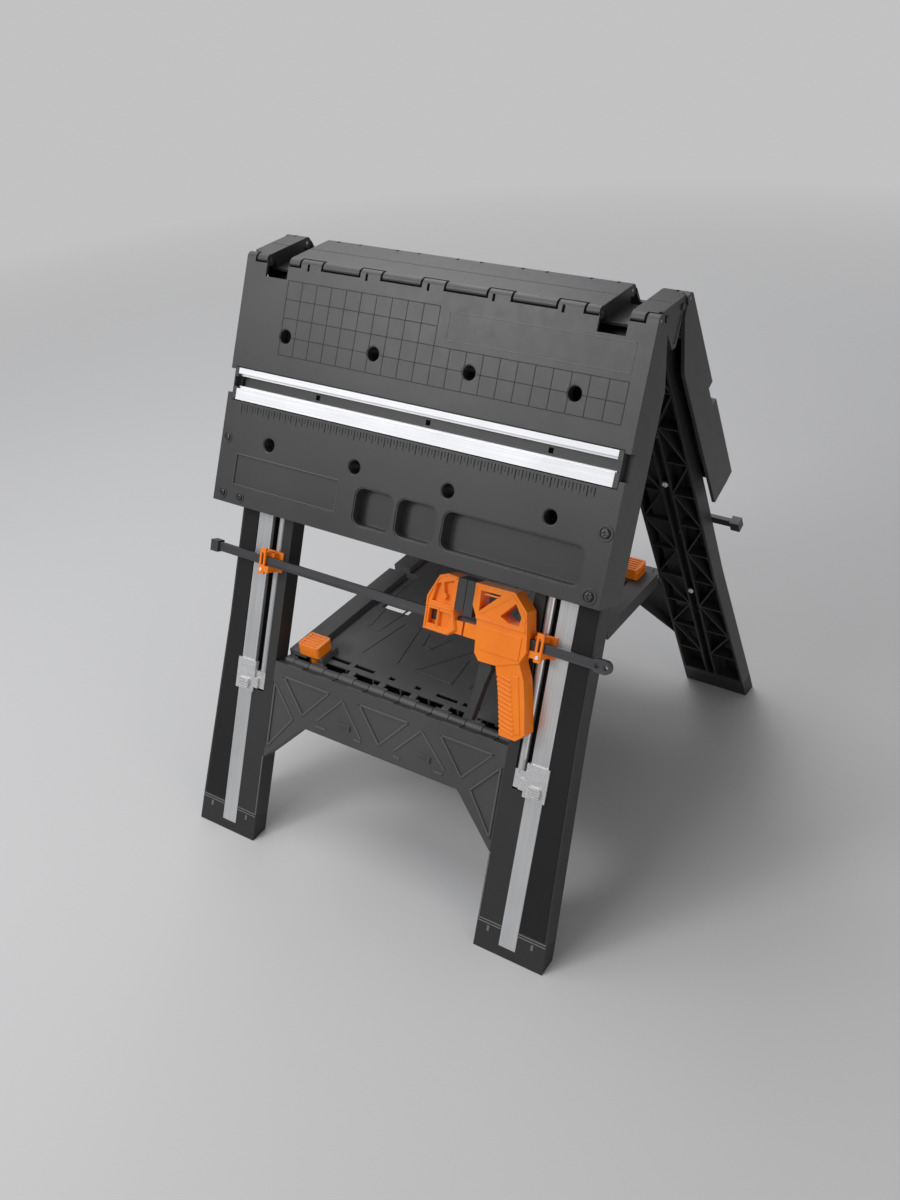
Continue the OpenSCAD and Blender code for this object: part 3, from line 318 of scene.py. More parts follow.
def drawnMetal(name, look):
    # Extruded or drawn metal: fine streaks along its length
    surface = metalSurface
    material, tree, shader, coords = startMaterial(name)
    mapping = tree.nodes.new("ShaderNodeMapping")
    mapping.vector_type = "TEXTURE"
    mapping.inputs["Rotation"].default_value = (math.radians(look["tilt"]), 0, 0)
    tree.links.new(coords.outputs["Object"], mapping.inputs["Vector"])
    stretch = tree.nodes.new("ShaderNodeVectorMath")
    stretch.operation = "MULTIPLY"
    stretch.inputs[1].default_value = look["stretch"]
    tree.links.new(mapping.outputs["Vector"], stretch.inputs[0])
    streaks = addNoise(
        tree, stretch.outputs["Vector"], surface["streakScale"], surface["streakDetail"], surface["streakRoughness"])
    cloud = addNoise(tree, coords.outputs["Object"], surface["cloudScale"], surface["cloudDetail"])
    normal, edge = addEdge(tree, surface["edgeRadius"])
    body = addMix(tree, addRange(tree, streaks, *surface["streakRange"], 0.0, 1.0), look["colour"], look["paler"])
    dull = addRange(tree, cloud, *surface["cloudRange"], 0.0, surface["dullShare"])
    shade = addMix(tree, dull, body, look["dull"])
    # Paler colour on sharp edges: painted highlight
    edgeHighlight = addRange(tree, edge, 0.0, 1.0, 0.0, surface["edgeHighlightShare"])
    tree.links.new(addMix(tree, edgeHighlight, shade, look["paler"]), shader.inputs["Base Color"])
    linkRoughness(tree, shader, streaks, surface, look["rough"])
    shader.inputs["Metallic"].default_value = look["metallic"]
    addBump(tree, shader, streaks, normal, surface["streakDepth"], surface["streakStrength"])
    return material


# Looks: colours in sRGB numbers, one dictionary for each kind of surface
blackLook = {
    "colour": linear(45, 45, 46), "paler": linear(53, 53, 54), "wearAndHighlightColour": linear(112, 112, 112), "wearAndHighlight": 0.4,
    "rough": 0.41, "cloudScale": 7.0, "grainScale": 1500.0, "grainDepth": 0.00012, "edgeRadius": 0.0009, "ior": 1.5,
}
legLook = dict(blackLook, colour=linear(34, 34, 34), paler=linear(41, 41, 41), rough=0.46)
# Lighter copies of the black plastic for the shelf and the cross panel: painted light that brightens their shaded faces
shelfLook = dict(blackLook, colour=linear(74, 74, 75), paler=linear(84, 84, 85), wearAndHighlightColour=linear(126, 126, 126), rough=0.55)
crossLook = dict(blackLook, colour=linear(58, 58, 59), paler=linear(67, 67, 68), rough=0.48)
footLook = dict(blackLook, colour=linear(32, 32, 32), paler=linear(39, 39, 39), rough=0.6, grainScale=900.0)
orangeLook = dict(
    blackLook, colour=linear(241, 122, 8), paler=linear(247, 134, 18), wearAndHighlightColour=linear(255, 180, 112),
    wearAndHighlight=0.45, rough=0.4, cloudScale=18.0, edgeRadius=0.0011,
)
rubberLook = dict(blackLook, colour=linear(50, 50, 51), paler=linear(60, 60, 61), rough=0.7, grainScale=700.0)
markLook = dict(blackLook, colour=linear(20, 20, 20), paler=linear(26, 26, 26), wearAndHighlightColour=linear(34, 34, 34), rough=0.6)
# Trim much lighter than the leg: the seams, tabs and edge line are real relief, their lighter colour is a painted
# highlight
seamHighlightLook = dict(blackLook, colour=linear(92, 92, 92), paler=linear(108, 108, 108), wearAndHighlight=0.6)
# Near-black bands beside the tracks: painted shade of a recess between track and outer flange
bandShadeLook = dict(
    blackLook, colour=linear(22, 22, 22), paler=linear(27, 27, 27), wearAndHighlightColour=linear(60, 60, 60), rough=0.6, ior=1.35)
# Near-black with little sheen: painted shade in gaps, slots and holes
gapLook = dict(
    blackLook, colour=linear(10, 10, 10), paler=linear(14, 14, 14), wearAndHighlightColour=linear(18, 18, 18), rough=0.85, ior=1.12)
reliefLook = dict(blackLook, colour=linear(74, 74, 75), paler=linear(84, 84, 85), wearAndHighlight=0.55)
triggerLook = dict(blackLook, colour=linear(44, 44, 45), paler=linear(54, 54, 55), rough=0.48)
aluminiumLook = {
    "colour": linear(214, 215, 217), "paler": linear(244, 244, 246), "dull": linear(196, 197, 200),
    "rough": 0.62, "metallic": 0.8, "tilt": 0.0, "stretch": (3.0, 900.0, 900.0),
}
legMetalLook = dict(
    aluminiumLook, colour=linear(204, 205, 206), paler=linear(222, 223, 224), dull=linear(182, 183, 184),
    rough=0.36, stretch=(900.0, 900.0, 3.0),
)
steelLook = dict(
    aluminiumLook, colour=linear(176, 177, 180), paler=linear(214, 215, 218), dull=linear(150, 151, 154),
    rough=0.3, metallic=1.0, stretch=(400.0, 400.0, 400.0),
)
zincLook = dict(
    steelLook, colour=linear(196, 196, 197), paler=linear(222, 222, 223), dull=linear(174, 174, 175),
    rough=0.46, metallic=0.7,
)
barLook = dict(
    steelLook, colour=linear(74, 74, 76), paler=linear(92, 92, 94), dull=linear(62, 62, 63),
    rough=0.42, metallic=0.75, stretch=(4.0, 500.0, 500.0),
)
brightLook = dict(
    steelLook, colour=linear(232, 232, 233), paler=linear(246, 246, 247), dull=linear(214, 214, 215), metallic=0.25)
screwLook = dict(steelLook, colour=linear(60, 60, 62), paler=linear(96, 96, 98), dull=linear(46, 46, 47), rough=0.38)


plastics = {
    "panelPlastic": blackLook, "legPlastic": legLook, "footPlastic": footLook, "shelfPlastic": shelfLook,
    "crossPlastic": crossLook, "orangePlastic": orangeLook, "padRubber": rubberLook, "triggerPlastic": triggerLook,
    "markPaint": markLook, "gapShadow": gapLook, "seamHighlightPlastic": seamHighlightLook, "bandShadePlastic": bandShadeLook,
    "reliefPlastic": reliefLook,
}
metals = {
    "railAluminium": aluminiumLook,
    "frontLegAluminium": dict(legMetalLook, tilt=-legPlace["slope"]),
    "rearLegAluminium": dict(legMetalLook, tilt=legPlace["slope"]),
    "screwSteel": steelLook, "darkScrew": screwLook, "brightScrew": brightLook, "latchZinc": zincLook,
    "barSteel": barLook,
}


def makeMaterials():
    finishes = {name: mouldedPlastic(name, look) for name, look in plastics.items()}
    finishes.update((name, drawnMetal(name, look)) for name, look in metals.items())
    return finishes


def nodeMaterial(name, finishes):
    # The first word that is found in the node's name decides
    legMetal = ("front" if name.startswith("front") else "rear") + "LegAluminium"
    rules = (
        ("clamp_bar", "barSteel"), ("bar_holders", "orangePlastic"), ("clamp_handle", "orangePlastic"),
        ("clamp_jaw_pad", "padRubber"), ("clamp_pad", "padRubber"), ("clamp_jaw", "orangePlastic"),
        ("clamp_trigger", "triggerPlastic"), ("dog", "orangePlastic"), ("rail_clips", "panelPlastic"),
        ("rail", "railAluminium"), ("leg_tracks", legMetal), ("brace", legMetal), ("latch", "latchZinc"),
        ("panel_screws", "darkScrew"), ("screws", "screwSteel"), ("bolts", "darkScrew"), ("pin", "screwSteel"),
        ("feet", "footPlastic"), ("shelf", "shelfPlastic"), ("cross_panel", "crossPlastic"), ("leg", "legPlastic"),
    )
    for word, finish in rules:
        if word in name:
            return finishes[finish]
    return finishes["panelPlastic"]


def dressNodes(finishes):
    for name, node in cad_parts.items():
        material = nodeMaterial(name, finishes)
        node.data.materials.clear()
        node.data.materials.append(material)


def finishPiece(piece, material, body):
    piece.data.materials.clear()
    piece.data.materials.append(material)
    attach(piece, body)


def makePair(parts, word, placeOf, material, body):
    # Joins the parts, turns a copy of them to the rear side and puts both on their bodies
    front = joinPieces(parts, "front_" + word)
    rear = copyPiece(front, "rear_" + word, placeOf("rear"))
    putAt(front, placeOf("front"))
    pair = (("front", front), ("rear", rear))
    for side, piece in pair:
        finishPiece(piece, material, side + "_" + body)
    return pair


# Grid and ruler on the panel's face, in metres along the bench and down the panel
panelMarks = {
    "firstColumn": -0.237, "middle": 0.017, "pitch": 0.0254, "columns": 11,
    "firstRow": 0.029, "rows": 5, "lowRow": 0.0798, "lowRows": 3, "lastRow": 0.1306,
    "line": 0.0011, "proud": 0.00015, "sunk": 0.0006,
    "rulerTop": 0.209, "tickPitch": 0.00508, "tickStart": -0.288, "tickCount": 113, "tickWidth": 0.0014,
    "tickLengths": ((1, 0.0075), (2, 0.0115), (10, 0.0135)),
    "holeRow": 0.105, "holeColumns": (-0.2286, -0.0762, 0.0762, 0.2286), "holeClear": 0.0112, "shortest": 0.002,
}


def faceY(distance):
    return panelPlace["edge"] - distance


def clearRuns(start, end, crossings):
    # The parts of a line that stay clear of the dog holes
    runs = [(start, end)]
    for middle, offset in crossings:
        if abs(offset) >= panelMarks["holeClear"]:
            continue
        half = math.sqrt(panelMarks["holeClear"] ** 2 - offset ** 2)
        kept = []
        for low, high in runs:
            if middle + half <= low or middle - half >= high:
                kept.append((low, high))
                continue
            kept += [(low, middle - half), (middle + half, high)]
        runs = [run for run in kept if run[1] - run[0] > panelMarks["shortest"]]
    return runs


def panelMarkParts():
    marks = panelMarks
    top = panelPlace["knuckle"] + marks["proud"]
    bottom = panelPlace["knuckle"] - marks["sunk"]
    height = (top + bottom) / 2
    thick = top - bottom
    parts = []

    def column(start, end, x):
        crossings = [(marks["holeRow"], x - hole) for hole in marks["holeColumns"]]
        for low, high in clearRuns(start, end, crossings):
            parts.append(addBlock((x, (faceY(low) + faceY(high)) / 2, height), (marks["line"], high - low, thick)))

    def row(x0, x1, distance):
        crossings = [(hole, distance - marks["holeRow"]) for hole in marks["holeColumns"]]
        for low, high in clearRuns(x0, x1, crossings):
            parts.append(addBlock(((low + high) / 2, faceY(distance), height), (high - low, marks["line"], thick)))

    right = marks["middle"] + marks["columns"] * marks["pitch"]
    for step in range(marks["columns"]):
        column(marks["firstRow"], marks["lastRow"], marks["firstColumn"] + step * marks["pitch"])
        column(marks["lowRow"], marks["lastRow"], marks["middle"] + (step + 1) * marks["pitch"])
    for step in range(marks["rows"]):
        row(marks["firstColumn"], marks["middle"], marks["firstRow"] + step * marks["pitch"])
    for step in range(marks["lowRows"]):
        row(marks["middle"], right, marks["lowRow"] + step * marks["pitch"])
    for step, length in marks["tickLengths"]:
        tick = addBlock(
            (marks["tickStart"], faceY(marks["rulerTop"] + length / 2), height), (marks["tickWidth"], length, thick))
        parts.append(addRow(tick, (marks["tickCount"] - 1) // step + 1, (marks["tickPitch"] * step, 0, 0)))
    return parts


def makePanelMarks(finishes):
    makePair(panelMarkParts(), "panel_marks", panelMatrix, finishes["markPaint"], "panel")
    print("panel marks made")


# Painted shade: dark covers round the hinge knuckles and in the slots, where the gaps fall in shade, in mm along the
# pin and down the panel
hingeGapShade = {
    "radius": 8.15, "ringWidth": 3.0, "endGap": 0.1, "stripStart": 8.2, "stripEnd": 10.4,
    "faceTop": 8.15, "coverThick": 0.8,
    "knuckles": (
        (-298.75, -280.75, 1, 0), (-240.25, -222.25, 0, 1), (-181, -120, 1, 1), (-81, -20, 1, 1),
        (20, 81, 1, 1), (120, 181, 1, 1), (222.25, 240.25, 1, 0), (280.75, 298.75, 0, 1),
    ),
    "slots": (-205.8, -106.4, -7.0, 92.4, 191.8), "slotWidth": 3.8, "slotStart": 4.5, "slotEnd": 13.0,
}


def makeHingeGapShade(finishes):
    gaps = hingeGapShade
    parts = []

    def shadeBlock(x0, x1, start, end):
        parts.append(addBlock(
            ((x0 + x1) / 2000, faceY((start + end) / 2000), (gaps["faceTop"] - gaps["coverThick"] / 2) / 1000),
            ((x1 - x0) / 1000, (end - start) / 1000, gaps["coverThick"] / 1000)))

    def shadeRing(x0, x1):
        deselectAll()
        bpy.ops.mesh.primitive_cylinder_add(
            vertices=96, radius=gaps["radius"] / 1000, depth=(x1 - x0) / 1000,
            location=((x0 + x1) / 2000, 0, 0), rotation=(0, math.pi / 2, 0))
        parts.append(bpy.context.object)

    width = gaps["ringWidth"]
    for x0, x1, towardLeft, towardRight in gaps["knuckles"]:
        shadeBlock(x0 - width * towardLeft, x1 + width * towardRight, gaps["stripStart"], gaps["stripEnd"])
        for end, direction in ((x0, -towardLeft), (x1, towardRight)):
            if direction:
                near, far = sorted((end + gaps["endGap"] * direction, end + width * direction))
                shadeBlock(near, far, panelPlace["edge"] * 1000, gaps["stripEnd"])
                shadeRing(near, far)
    for x in gaps["slots"]:
        shadeBlock(x - gaps["slotWidth"] / 2, x + gaps["slotWidth"] / 2, gaps["slotStart"], gaps["slotEnd"])
    makePair(parts, "hinge_gap_shade", panelMatrix, finishes["gapShadow"], "panel")
    print("hinge gap shade made")


# Long bosses under the dog holes, dark floors in the channel's square holes that paint the shade in them, and frames of
# the label places
panelExtras = {
    "sleeveColumns": (-0.0762, 0.0762), "sleeveRows": (0.105, 0.2574), "sleeveInner": 0.0099, "sleeveWall": 0.0036,
    "sleeveTop": -0.0075, "sleeveBottom": -0.034,
    "capColumns": (-0.166, 0.0195, 0.205), "capRow": 0.1785, "capSize": 0.0074, "capTop": -0.0078, "capBottom": -0.0088,
    "frames": ((-0.285, 0.28, -0.098, 0.324), (0.033, 0.034, 0.296, 0.07)),
    "frameWidth": 0.0013, "frameProud": 0.0004, "frameThick": 0.001,
}


def makePanelExtras(finishes):
    look = panelExtras
    sleeves, caps, frames = [], [], []
    for x in look["sleeveColumns"]:
        for row in look["sleeveRows"]:
            deselectAll()
            bpy.ops.mesh.primitive_cylinder_add(
                vertices=48, radius=look["sleeveInner"], depth=look["sleeveTop"] - look["sleeveBottom"],
                end_fill_type="NOTHING", location=(x, faceY(row), (look["sleeveTop"] + look["sleeveBottom"]) / 2))
            sleeve = bpy.context.object
            wall = sleeve.modifiers.new("wall", "SOLIDIFY")
            wall.thickness = look["sleeveWall"]
            wall.offset = 1.0
            bpy.ops.object.modifier_apply(modifier=wall.name)
            sleeves.append(sleeve)
    # Near-black floors in the square holes: painted shade
    for x in look["capColumns"]:
        caps.append(addBlock(
            (x, faceY(look["capRow"]), (look["capTop"] + look["capBottom"]) / 2),
            (look["capSize"], look["capSize"], look["capTop"] - look["capBottom"])))
    top = panelPlace["knuckle"] + look["frameProud"]
    for x0, start, x1, end in look["frames"]:
        corners = [(x0, faceY(start), 0), (x1, faceY(start), 0), (x1, faceY(end), 0), (x0, faceY(end), 0)]
        for first, second in zip(corners, corners[1:] + corners[:1]):
            frames.append(addStrip(first, second, look["frameWidth"], top, top - look["frameThick"]))
    for parts, word, finish in (
            (sleeves, "hole_sleeves", "panelPlastic"), (caps, "channel_hole_shade", "gapShadow"),
            (frames, "label_frames", "reliefPlastic")):
        makePair(parts, word, panelMatrix, finishes[finish], "panel")
    print("panel extras made")


# Relief lines: points in mm, on the shelf's floor and down the leg frame from the shelf's hinge
shelfRelief = {
    "floorZ": 0.268, "width": 0.003, "proud": 0.001, "sunk": 0.0005,
    "lines": (
        ((-144, -41), (-105, -41), (-112, -98)), ((-141, -52), (-134, -105), (-112, -105)),
        ((-102, -163), (-88, -73), (-60, -73), (-39, -162)), ((-39, -78), (-31, -109), (-15, -109), (0, -73)),
        ((43, -88), (-4, -162), (60, -165), (51, -107)), ((88, -163), (102, -73), (128, -73), (146, -140)),
    ),
}
crossRelief = {
    "hinge": 0.5454, "width": 0.003, "proud": 0.0012, "sunk": 0.0005,
    "lines": (
        ((-113, 67), (-73, 24), (-32, 70)), ((27, 67), (67, 24), (113, 67)),
        ((-113, 76), (-96, 76)), ((-43, 74), (-32, 74)), ((28, 75), (38, 76)), ((98, 74), (110, 74)),
        ((-184, 20), (-98, 20), (-141, 68), (-184, 20)), ((-43, 20), (43, 20), (0, 68), (-43, 20)),
        ((98, 20), (184, 20), (141, 68), (98, 20)),
        ((-199, 34), (-158, 80), (-199, 135), (-199, 34)), ((199, 34), (158, 80), (199, 135), (199, 34)),
    ),
}


def stripLines(look, top, bottom, toPoint):
    strips = []
    for line in look["lines"]:
        points = [toPoint(point) for point in line]
        for start, end in zip(points, points[1:]):
            strips.append(addStrip(start, end, look["width"], top, bottom))
    return strips


def legFace(side):
    # x along the bench, y up the leg and z out of its face
    return legMatrix(side) @ Matrix.Translation((0, -legPlace["face"], 0)) @ Matrix.Rotation(math.pi / 2, 4, "X")


def makeRelief(finishes):
    floor = shelfRelief["floorZ"]
    shelfLines = stripLines(
        shelfRelief, floor + shelfRelief["proud"], floor - shelfRelief["sunk"],
        lambda point: (point[0] / 1000, point[1] / 1000, 0))
    makePair(shelfLines, "shelf_relief", sideMatrix, finishes["reliefPlastic"], "shelf_half")
    crossLines = stripLines(
        crossRelief, crossRelief["proud"], -crossRelief["sunk"],
        lambda point: (point[0] / 1000, -crossRelief["hinge"] - point[1] / 1000, 0))
    makePair(crossLines, "cross_relief", legFace, finishes["reliefPlastic"], "leg_frame")
    print("relief lines made")


# Painted shade: dark plates under the shelf along its hinge, below the windows and the slots, so that these show dark:
# y from and to, z from and to
shelfShadePlates = {
    "half": 0.1965, "bevel": 0.0002,
    "plates": ((-0.2165, -0.1885, 0.2542, 0.2552), (-0.2035, -0.1848, 0.264, 0.2648)),
}


def makeShelfShadePlates(finishes):
    plates = []
    for y0, y1, bottom, top in shelfShadePlates["plates"]:
        size = (2 * shelfShadePlates["half"], y1 - y0, top - bottom)
        plates.append(addBlock((0, (y0 + y1) / 2, (top + bottom) / 2), size, shelfShadePlates["bevel"]))
    makePair(plates, "shelf_shade_plates", sideMatrix, finishes["gapShadow"], "shelf_half")
    print("shelf shade plates made")


# Screw heads
headShape = {"sides": 32, "roundShare": 0.55, "roundSteps": 4, "armShare": 0.26, "armDepth": 0.9}
ringShape = {"sides": 40, "sunkShare": 0.9, "edgeSteps": 2}


def makeScrewHead(radius, height, recess):
    # Round head on the origin, pointing along +Z, with a cross recess
    deselectAll()
    bpy.ops.mesh.primitive_cylinder_add(
        vertices=headShape["sides"], radius=radius, depth=height, location=(0, 0, height / 2))
    head = bpy.context.object
    selectTop(head)
    bpy.ops.mesh.bevel(offset=height * headShape["roundShare"], segments=headShape["roundSteps"], affect="EDGES")
    bpy.ops.object.mode_set(mode="OBJECT")
    across, deep = recess * headShape["armShare"], height * headShape["armDepth"]
    arms = [addBlock((0, 0, height), size) for size in ((recess, across, deep), (across, recess, deep))]
    for arm in arms:
        activate(head)
        cut = head.modifiers.new("recess", "BOOLEAN")
        cut.operation = "DIFFERENCE"
        cut.solver = "EXACT"
        cut.object = arm
        bpy.ops.object.modifier_apply(modifier=cut.name)
    removePieces(*arms)
    return head


def addRing(centre, outer, inner, height, bevel):
    # Raised ring round a screw
    deselectAll()
    x, y, z = centre
    bpy.ops.mesh.primitive_cylinder_add(
        vertices=ringShape["sides"], radius=outer, depth=height, location=(x, y, z + height / 2))
    ring = bpy.context.object
    selectTop(ring)
    bpy.ops.mesh.inset(thickness=outer - inner)
    bpy.ops.mesh.extrude_region_move(TRANSFORM_OT_translate={"value": (0, 0, -height * ringShape["sunkShare"])})
    bpy.ops.object.mode_set(mode="OBJECT")
    activate(ring)
    edge = ring.modifiers.new("edge", "BEVEL")
    edge.width = bevel
    edge.segments = ringShape["edgeSteps"]
    edge.limit_method = "ANGLE"
    bpy.ops.object.modifier_apply(modifier=edge.name)
    return ring


# Places in mm along the bench and down the panel, with a factor of size; the rest in metres
panelScrews = {
    "places": ((-306, 260, 1.0), (306, 260, 1.35), (-301, 340, 1.0), (301, 340, 1.35), (-268, 341, 1.0)),
    "radius": 0.0045, "height": 0.0022, "recess": 0.0048,
    "ringOuter": 0.0078, "ringInner": 0.0056, "ringHeight": 0.0014, "ringSunk": 0.0004, "ringBevel": 0.0003,
}
legScrews = {
    "rows": (0.195, 0.405, 0.615), "trackX": 0.255, "level": -0.014,
    "radius": 0.0045, "height": 0.0025, "recess": 0.005,
}


def makePanelScrews(finishes):
    look = panelScrews
    base = panelPlace["knuckle"]
    head = makeScrewHead(look["radius"], look["height"], look["recess"])
    heads, rings = [], []
    for x, distance, size in look["places"]:
        spot = (x / 1000, faceY(distance / 1000), base)
        heads.append(copyPiece(head, "panelScrew", Matrix.Translation(spot) @ Matrix.Scale(size, 4)))
        rings.append(addRing(
            (spot[0], spot[1], base - look["ringSunk"]), look["ringOuter"] * size, look["ringInner"] * size,
            look["ringHeight"], look["ringBevel"]))
    removePieces(head)
    for side, piece in makePair(heads, "panel_screw_heads", panelMatrix, finishes["darkScrew"], "panel"):
        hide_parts(side + "_panel_screws")
    makePair(rings, "panel_screw_rings", panelMatrix, finishes["panelPlastic"], "panel")
    print("panel screws made")


def makeLegScrews(finishes):
    look = legScrews
    head = makeScrewHead(look["radius"], look["height"], look["recess"])
    putAt(head, Matrix.Rotation(math.pi, 4, "X"))
    heads = []
    for x in (-look["trackX"], look["trackX"]):
        for row in look["rows"]:
            heads.append(copyPiece(head, "legScrew", Matrix.Translation((x, -row, look["level"]))))
    removePieces(head)
    for side, piece in makePair(heads, "leg_screw_heads", legFace, finishes["screwSteel"], "leg_frame"):
        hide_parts(side + "_leg_screws")
    print("leg screws made")


# Bright screws on bosses in the groove of each leg's inner side
spineScrews = {
    "rows": (0.285, 0.545), "legX": 0.2525, "bossTop": -0.0235, "bossBottom": -0.0138, "bossRadius": 0.0056,
    "bossSides": 40, "radius": 0.0046, "height": 0.0026, "recess": 0.005,
}


def makeSpineScrews(finishes):
    look = spineScrews
    head = makeScrewHead(look["radius"], look["height"], look["recess"])
    putAt(head, Matrix.Rotation(math.pi, 4, "X"))
    heads, bosses = [], []
    middle, depth = (look["bossBottom"] + look["bossTop"]) / 2, look["bossBottom"] - look["bossTop"]
    for x in (-look["legX"], look["legX"]):
        for row in look["rows"]:
            heads.append(copyPiece(head, "spineScrew", Matrix.Translation((x, -row, look["bossTop"]))))
            deselectAll()
            bpy.ops.mesh.primitive_cylinder_add(
                vertices=look["bossSides"], radius=look["bossRadius"], depth=depth, location=(x, -row, middle))
            bosses.append(bpy.context.object)
    removePieces(head)
    makePair(heads, "spine_screws", legFace, finishes["brightScrew"], "leg_frame")
    makePair(bosses, "spine_bosses", legFace, finishes["legPlastic"], "leg_frame")
    print("spine screws made")


# Clamp trim, drawn in mm from the middle of the bar and out of the leg's face
clampTrim = {
    "barV": 397, "bodyW": 28.5, "gripW": 27.5, "sunk": 0.5,
    "rimWidth": 2.4, "rimHeight": 1.2, "rimBevel": 0.4, "handleRimW": 27.9, "jawRimW": 28.0,
    "handleRims": (
        ((133.5, 34), (133.5, 56.8), (187.5, 58), (208, 39.5), (213, 15)),
        ((143, 22), (188, 56)), ((147, 49.5), (169, 50.2)), ((199, 45), (207.5, 33)),
    ),
    "jawRims": (
        ((61.5, 9), (61, 24), (75, 54.5), (86, 59.2), (101, 58.6)), ((63, 15), (101.5, 15)),
        ((101.5, 15), (108, -9.5), (99, -17.8), (62.2, -17.8), (62.2, 6)), ((81, -12), (81, 12)),
    ),
    "plate": ((180, -8), (62, 32), 1.1), "plateBevel": 0.5,
    "ribs": 12, "ribTop": -50, "ribPitch": 6.3, "ribRun": ((2.5, 1.2), (22.5, -3)), "ribWidth": 3.2,
    "ribHeight": 1.1, "gripTop": (178.5, -37), "gripLean": 0.25, "gripBevel": 0.8,
    "back": ((211.5, -46), (227, -117)), "backWidth": 8.5, "backHeight": 1.2,
}


def clampPoint(point):
    return (point[0] / 1000, (point[1] - clampTrim["barV"]) / 1000, 0)


def trimStrip(start, end, width, level, height, bevel):
    return addStrip(
        clampPoint(start), clampPoint(end), width / 1000, (level + height) / 1000,
        (level - clampTrim["sunk"]) / 1000, bevel / 1000)


def trimRims(lines, level):
    trim = clampTrim
    return [
        trimStrip(start, end, trim["rimWidth"], level, trim["rimHeight"], trim["rimBevel"])
        for line in lines for start, end in zip(line, line[1:])
    ]


def makeClampTrim(finishes):
    trim = clampTrim
    handle = trimRims(trim["handleRims"], trim["handleRimW"])
    middle, (width, height), thick = trim["plate"]
    x, y = clampPoint(middle)[:2]
    handle.append(addBlock(
        (x, y, (trim["bodyW"] + (thick - trim["sunk"]) / 2) / 1000),
        (width / 1000, height / 1000, (thick + trim["sunk"]) / 1000), trim["plateBevel"] / 1000, 3))
    (startX, startZ), (endX, endZ) = trim["ribRun"]
    for index in range(trim["ribs"]):
        level = trim["ribTop"] - index * trim["ribPitch"]
        edge = trim["gripTop"][0] + trim["gripLean"] * (trim["gripTop"][1] - level)
        handle.append(trimStrip(
            (edge + startX, level + startZ), (edge + endX, level + endZ), trim["ribWidth"],
            trim["gripW"], trim["ribHeight"], trim["gripBevel"]))
    handle.append(trimStrip(
        *trim["back"], trim["backWidth"], trim["gripW"], trim["backHeight"], trim["gripBevel"]))
    jaw = trimRims(trim["jawRims"], trim["jawRimW"])
    for parts, word, body in ((handle, "clamp_handle_trim", "clamp"), (jaw, "clamp_jaw_trim", "clamp_jaw")):
        makePair(parts, word, legFace, finishes["orangePlastic"], body)
    print("clamp trim made")


# Bright screws of the bar holders: places and level in mm as for the clamp trim
holderScrews = {
    "places": ((-234, -13), (234, -13)), "level": 24.0, "radius": 0.0027, "height": 0.0012, "recess": 0.0028,
}


def makeHolderScrews(finishes):
    look = holderScrews
    head = makeScrewHead(look["radius"], look["height"], look["recess"])
    heads = []
    for place in look["places"]:
        x, y = clampPoint(place)[:2]
        heads.append(copyPiece(head, "holderScrew", Matrix.Translation((x, y, look["level"] / 1000))))
    removePieces(head)
    makePair(heads, "holder_screws", legFace, finishes["brightScrew"], "leg_frame")
    print("holder screws made")


# Seams and tabs above the feet, in a plastic lighter than the leg that paints a highlight on them, and dark bands
# beside the tracks that paint the shade of a recess, in mm out from the middle and down the leg
legTrim = {
    "seams": ((797, 204.5, 311), (801, 205, 311.3)), "seamWidth": 1.6, "proud": 0.7, "sunk": 0.5,
    "trackSides": (241.5, 268.5), "tabs": ((222, 804, 812), (292, 804, 812)), "tabWidth": 4.0, "tabThick": 1.6,
    "tabLevel": 0.2, "tabBevel": 0.4,
    "edge": ((204.9, 700), (204.9, 796)), "edgeWidth": 1.8, "edgeProud": 0.8,
    "bandInner": 269.0, "bandOuter": ((12, 295.0), (500, 298.4), (794, 308.2)), "bandThick": 1.05,
}


def legPoint(side, x, v):
    return (side * x / 1000, -v / 1000, 0)


def addBand(side, start, end):
    # Flat dark plate beside a track, painted shade of the recess there: its outer edge leans outward down the leg
    inner = legTrim["bandInner"]
    v0, outer0 = start
    v1, outer1 = end
    size = ((outer0 - inner) / 1000, (v1 - v0) / 1000, legTrim["bandThick"] / 1000)
    middle = legPoint(side, (inner + outer0) / 2, (v0 + v1) / 2)
    band = addBlock(middle, size)
    bpy.ops.object.mode_set(mode="EDIT")
    mesh = bmesh.from_edit_mesh(band.data)
    for vertex in mesh.verts:
        vertex.select_set(side * vertex.co.x > side * middle[0] and vertex.co.y < middle[1])
    mesh.select_flush(False)
    bmesh.update_edit_mesh(band.data)
    bpy.ops.transform.translate(value=(side * (outer1 - outer0) / 1000, 0, 0))
    bpy.ops.object.mode_set(mode="OBJECT")
    return band


def makeLegTrim(finishes):
    look = legTrim
    bottom = -look["sunk"] / 1000
    trackIn, trackOut = look["trackSides"]
    strips = []
    for side in (-1, 1):
        for v, x0, x1 in look["seams"]:
            for start, end in ((x0, trackIn), (trackOut, x1)):
                strips.append(addStrip(
                    legPoint(side, start, v), legPoint(side, end, v), look["seamWidth"] / 1000,
                    look["proud"] / 1000, bottom))
        for x, v0, v1 in look["tabs"]:
            size = (look["tabWidth"] / 1000, (v1 - v0) / 1000, look["tabThick"] / 1000)
            strips.append(addBlock(
                (side * x / 1000, -(v0 + v1) / 2000, look["tabLevel"] / 1000), size, look["tabBevel"] / 1000))
        start, end = look["edge"]
        strips.append(addStrip(
            legPoint(side, *start), legPoint(side, *end), look["edgeWidth"] / 1000, look["edgeProud"] / 1000, bottom))
    corners = look["bandOuter"]
    bands = [addBand(side, start, end) for side in (-1, 1) for start, end in zip(corners, corners[1:])]
    makePair(strips, "leg_trim", legFace, finishes["seamHighlightPlastic"], "leg_frame")
    makePair(bands, "leg_shade_bands", legFace, finishes["bandShadePlastic"], "leg_frame")
    print("leg trim made")


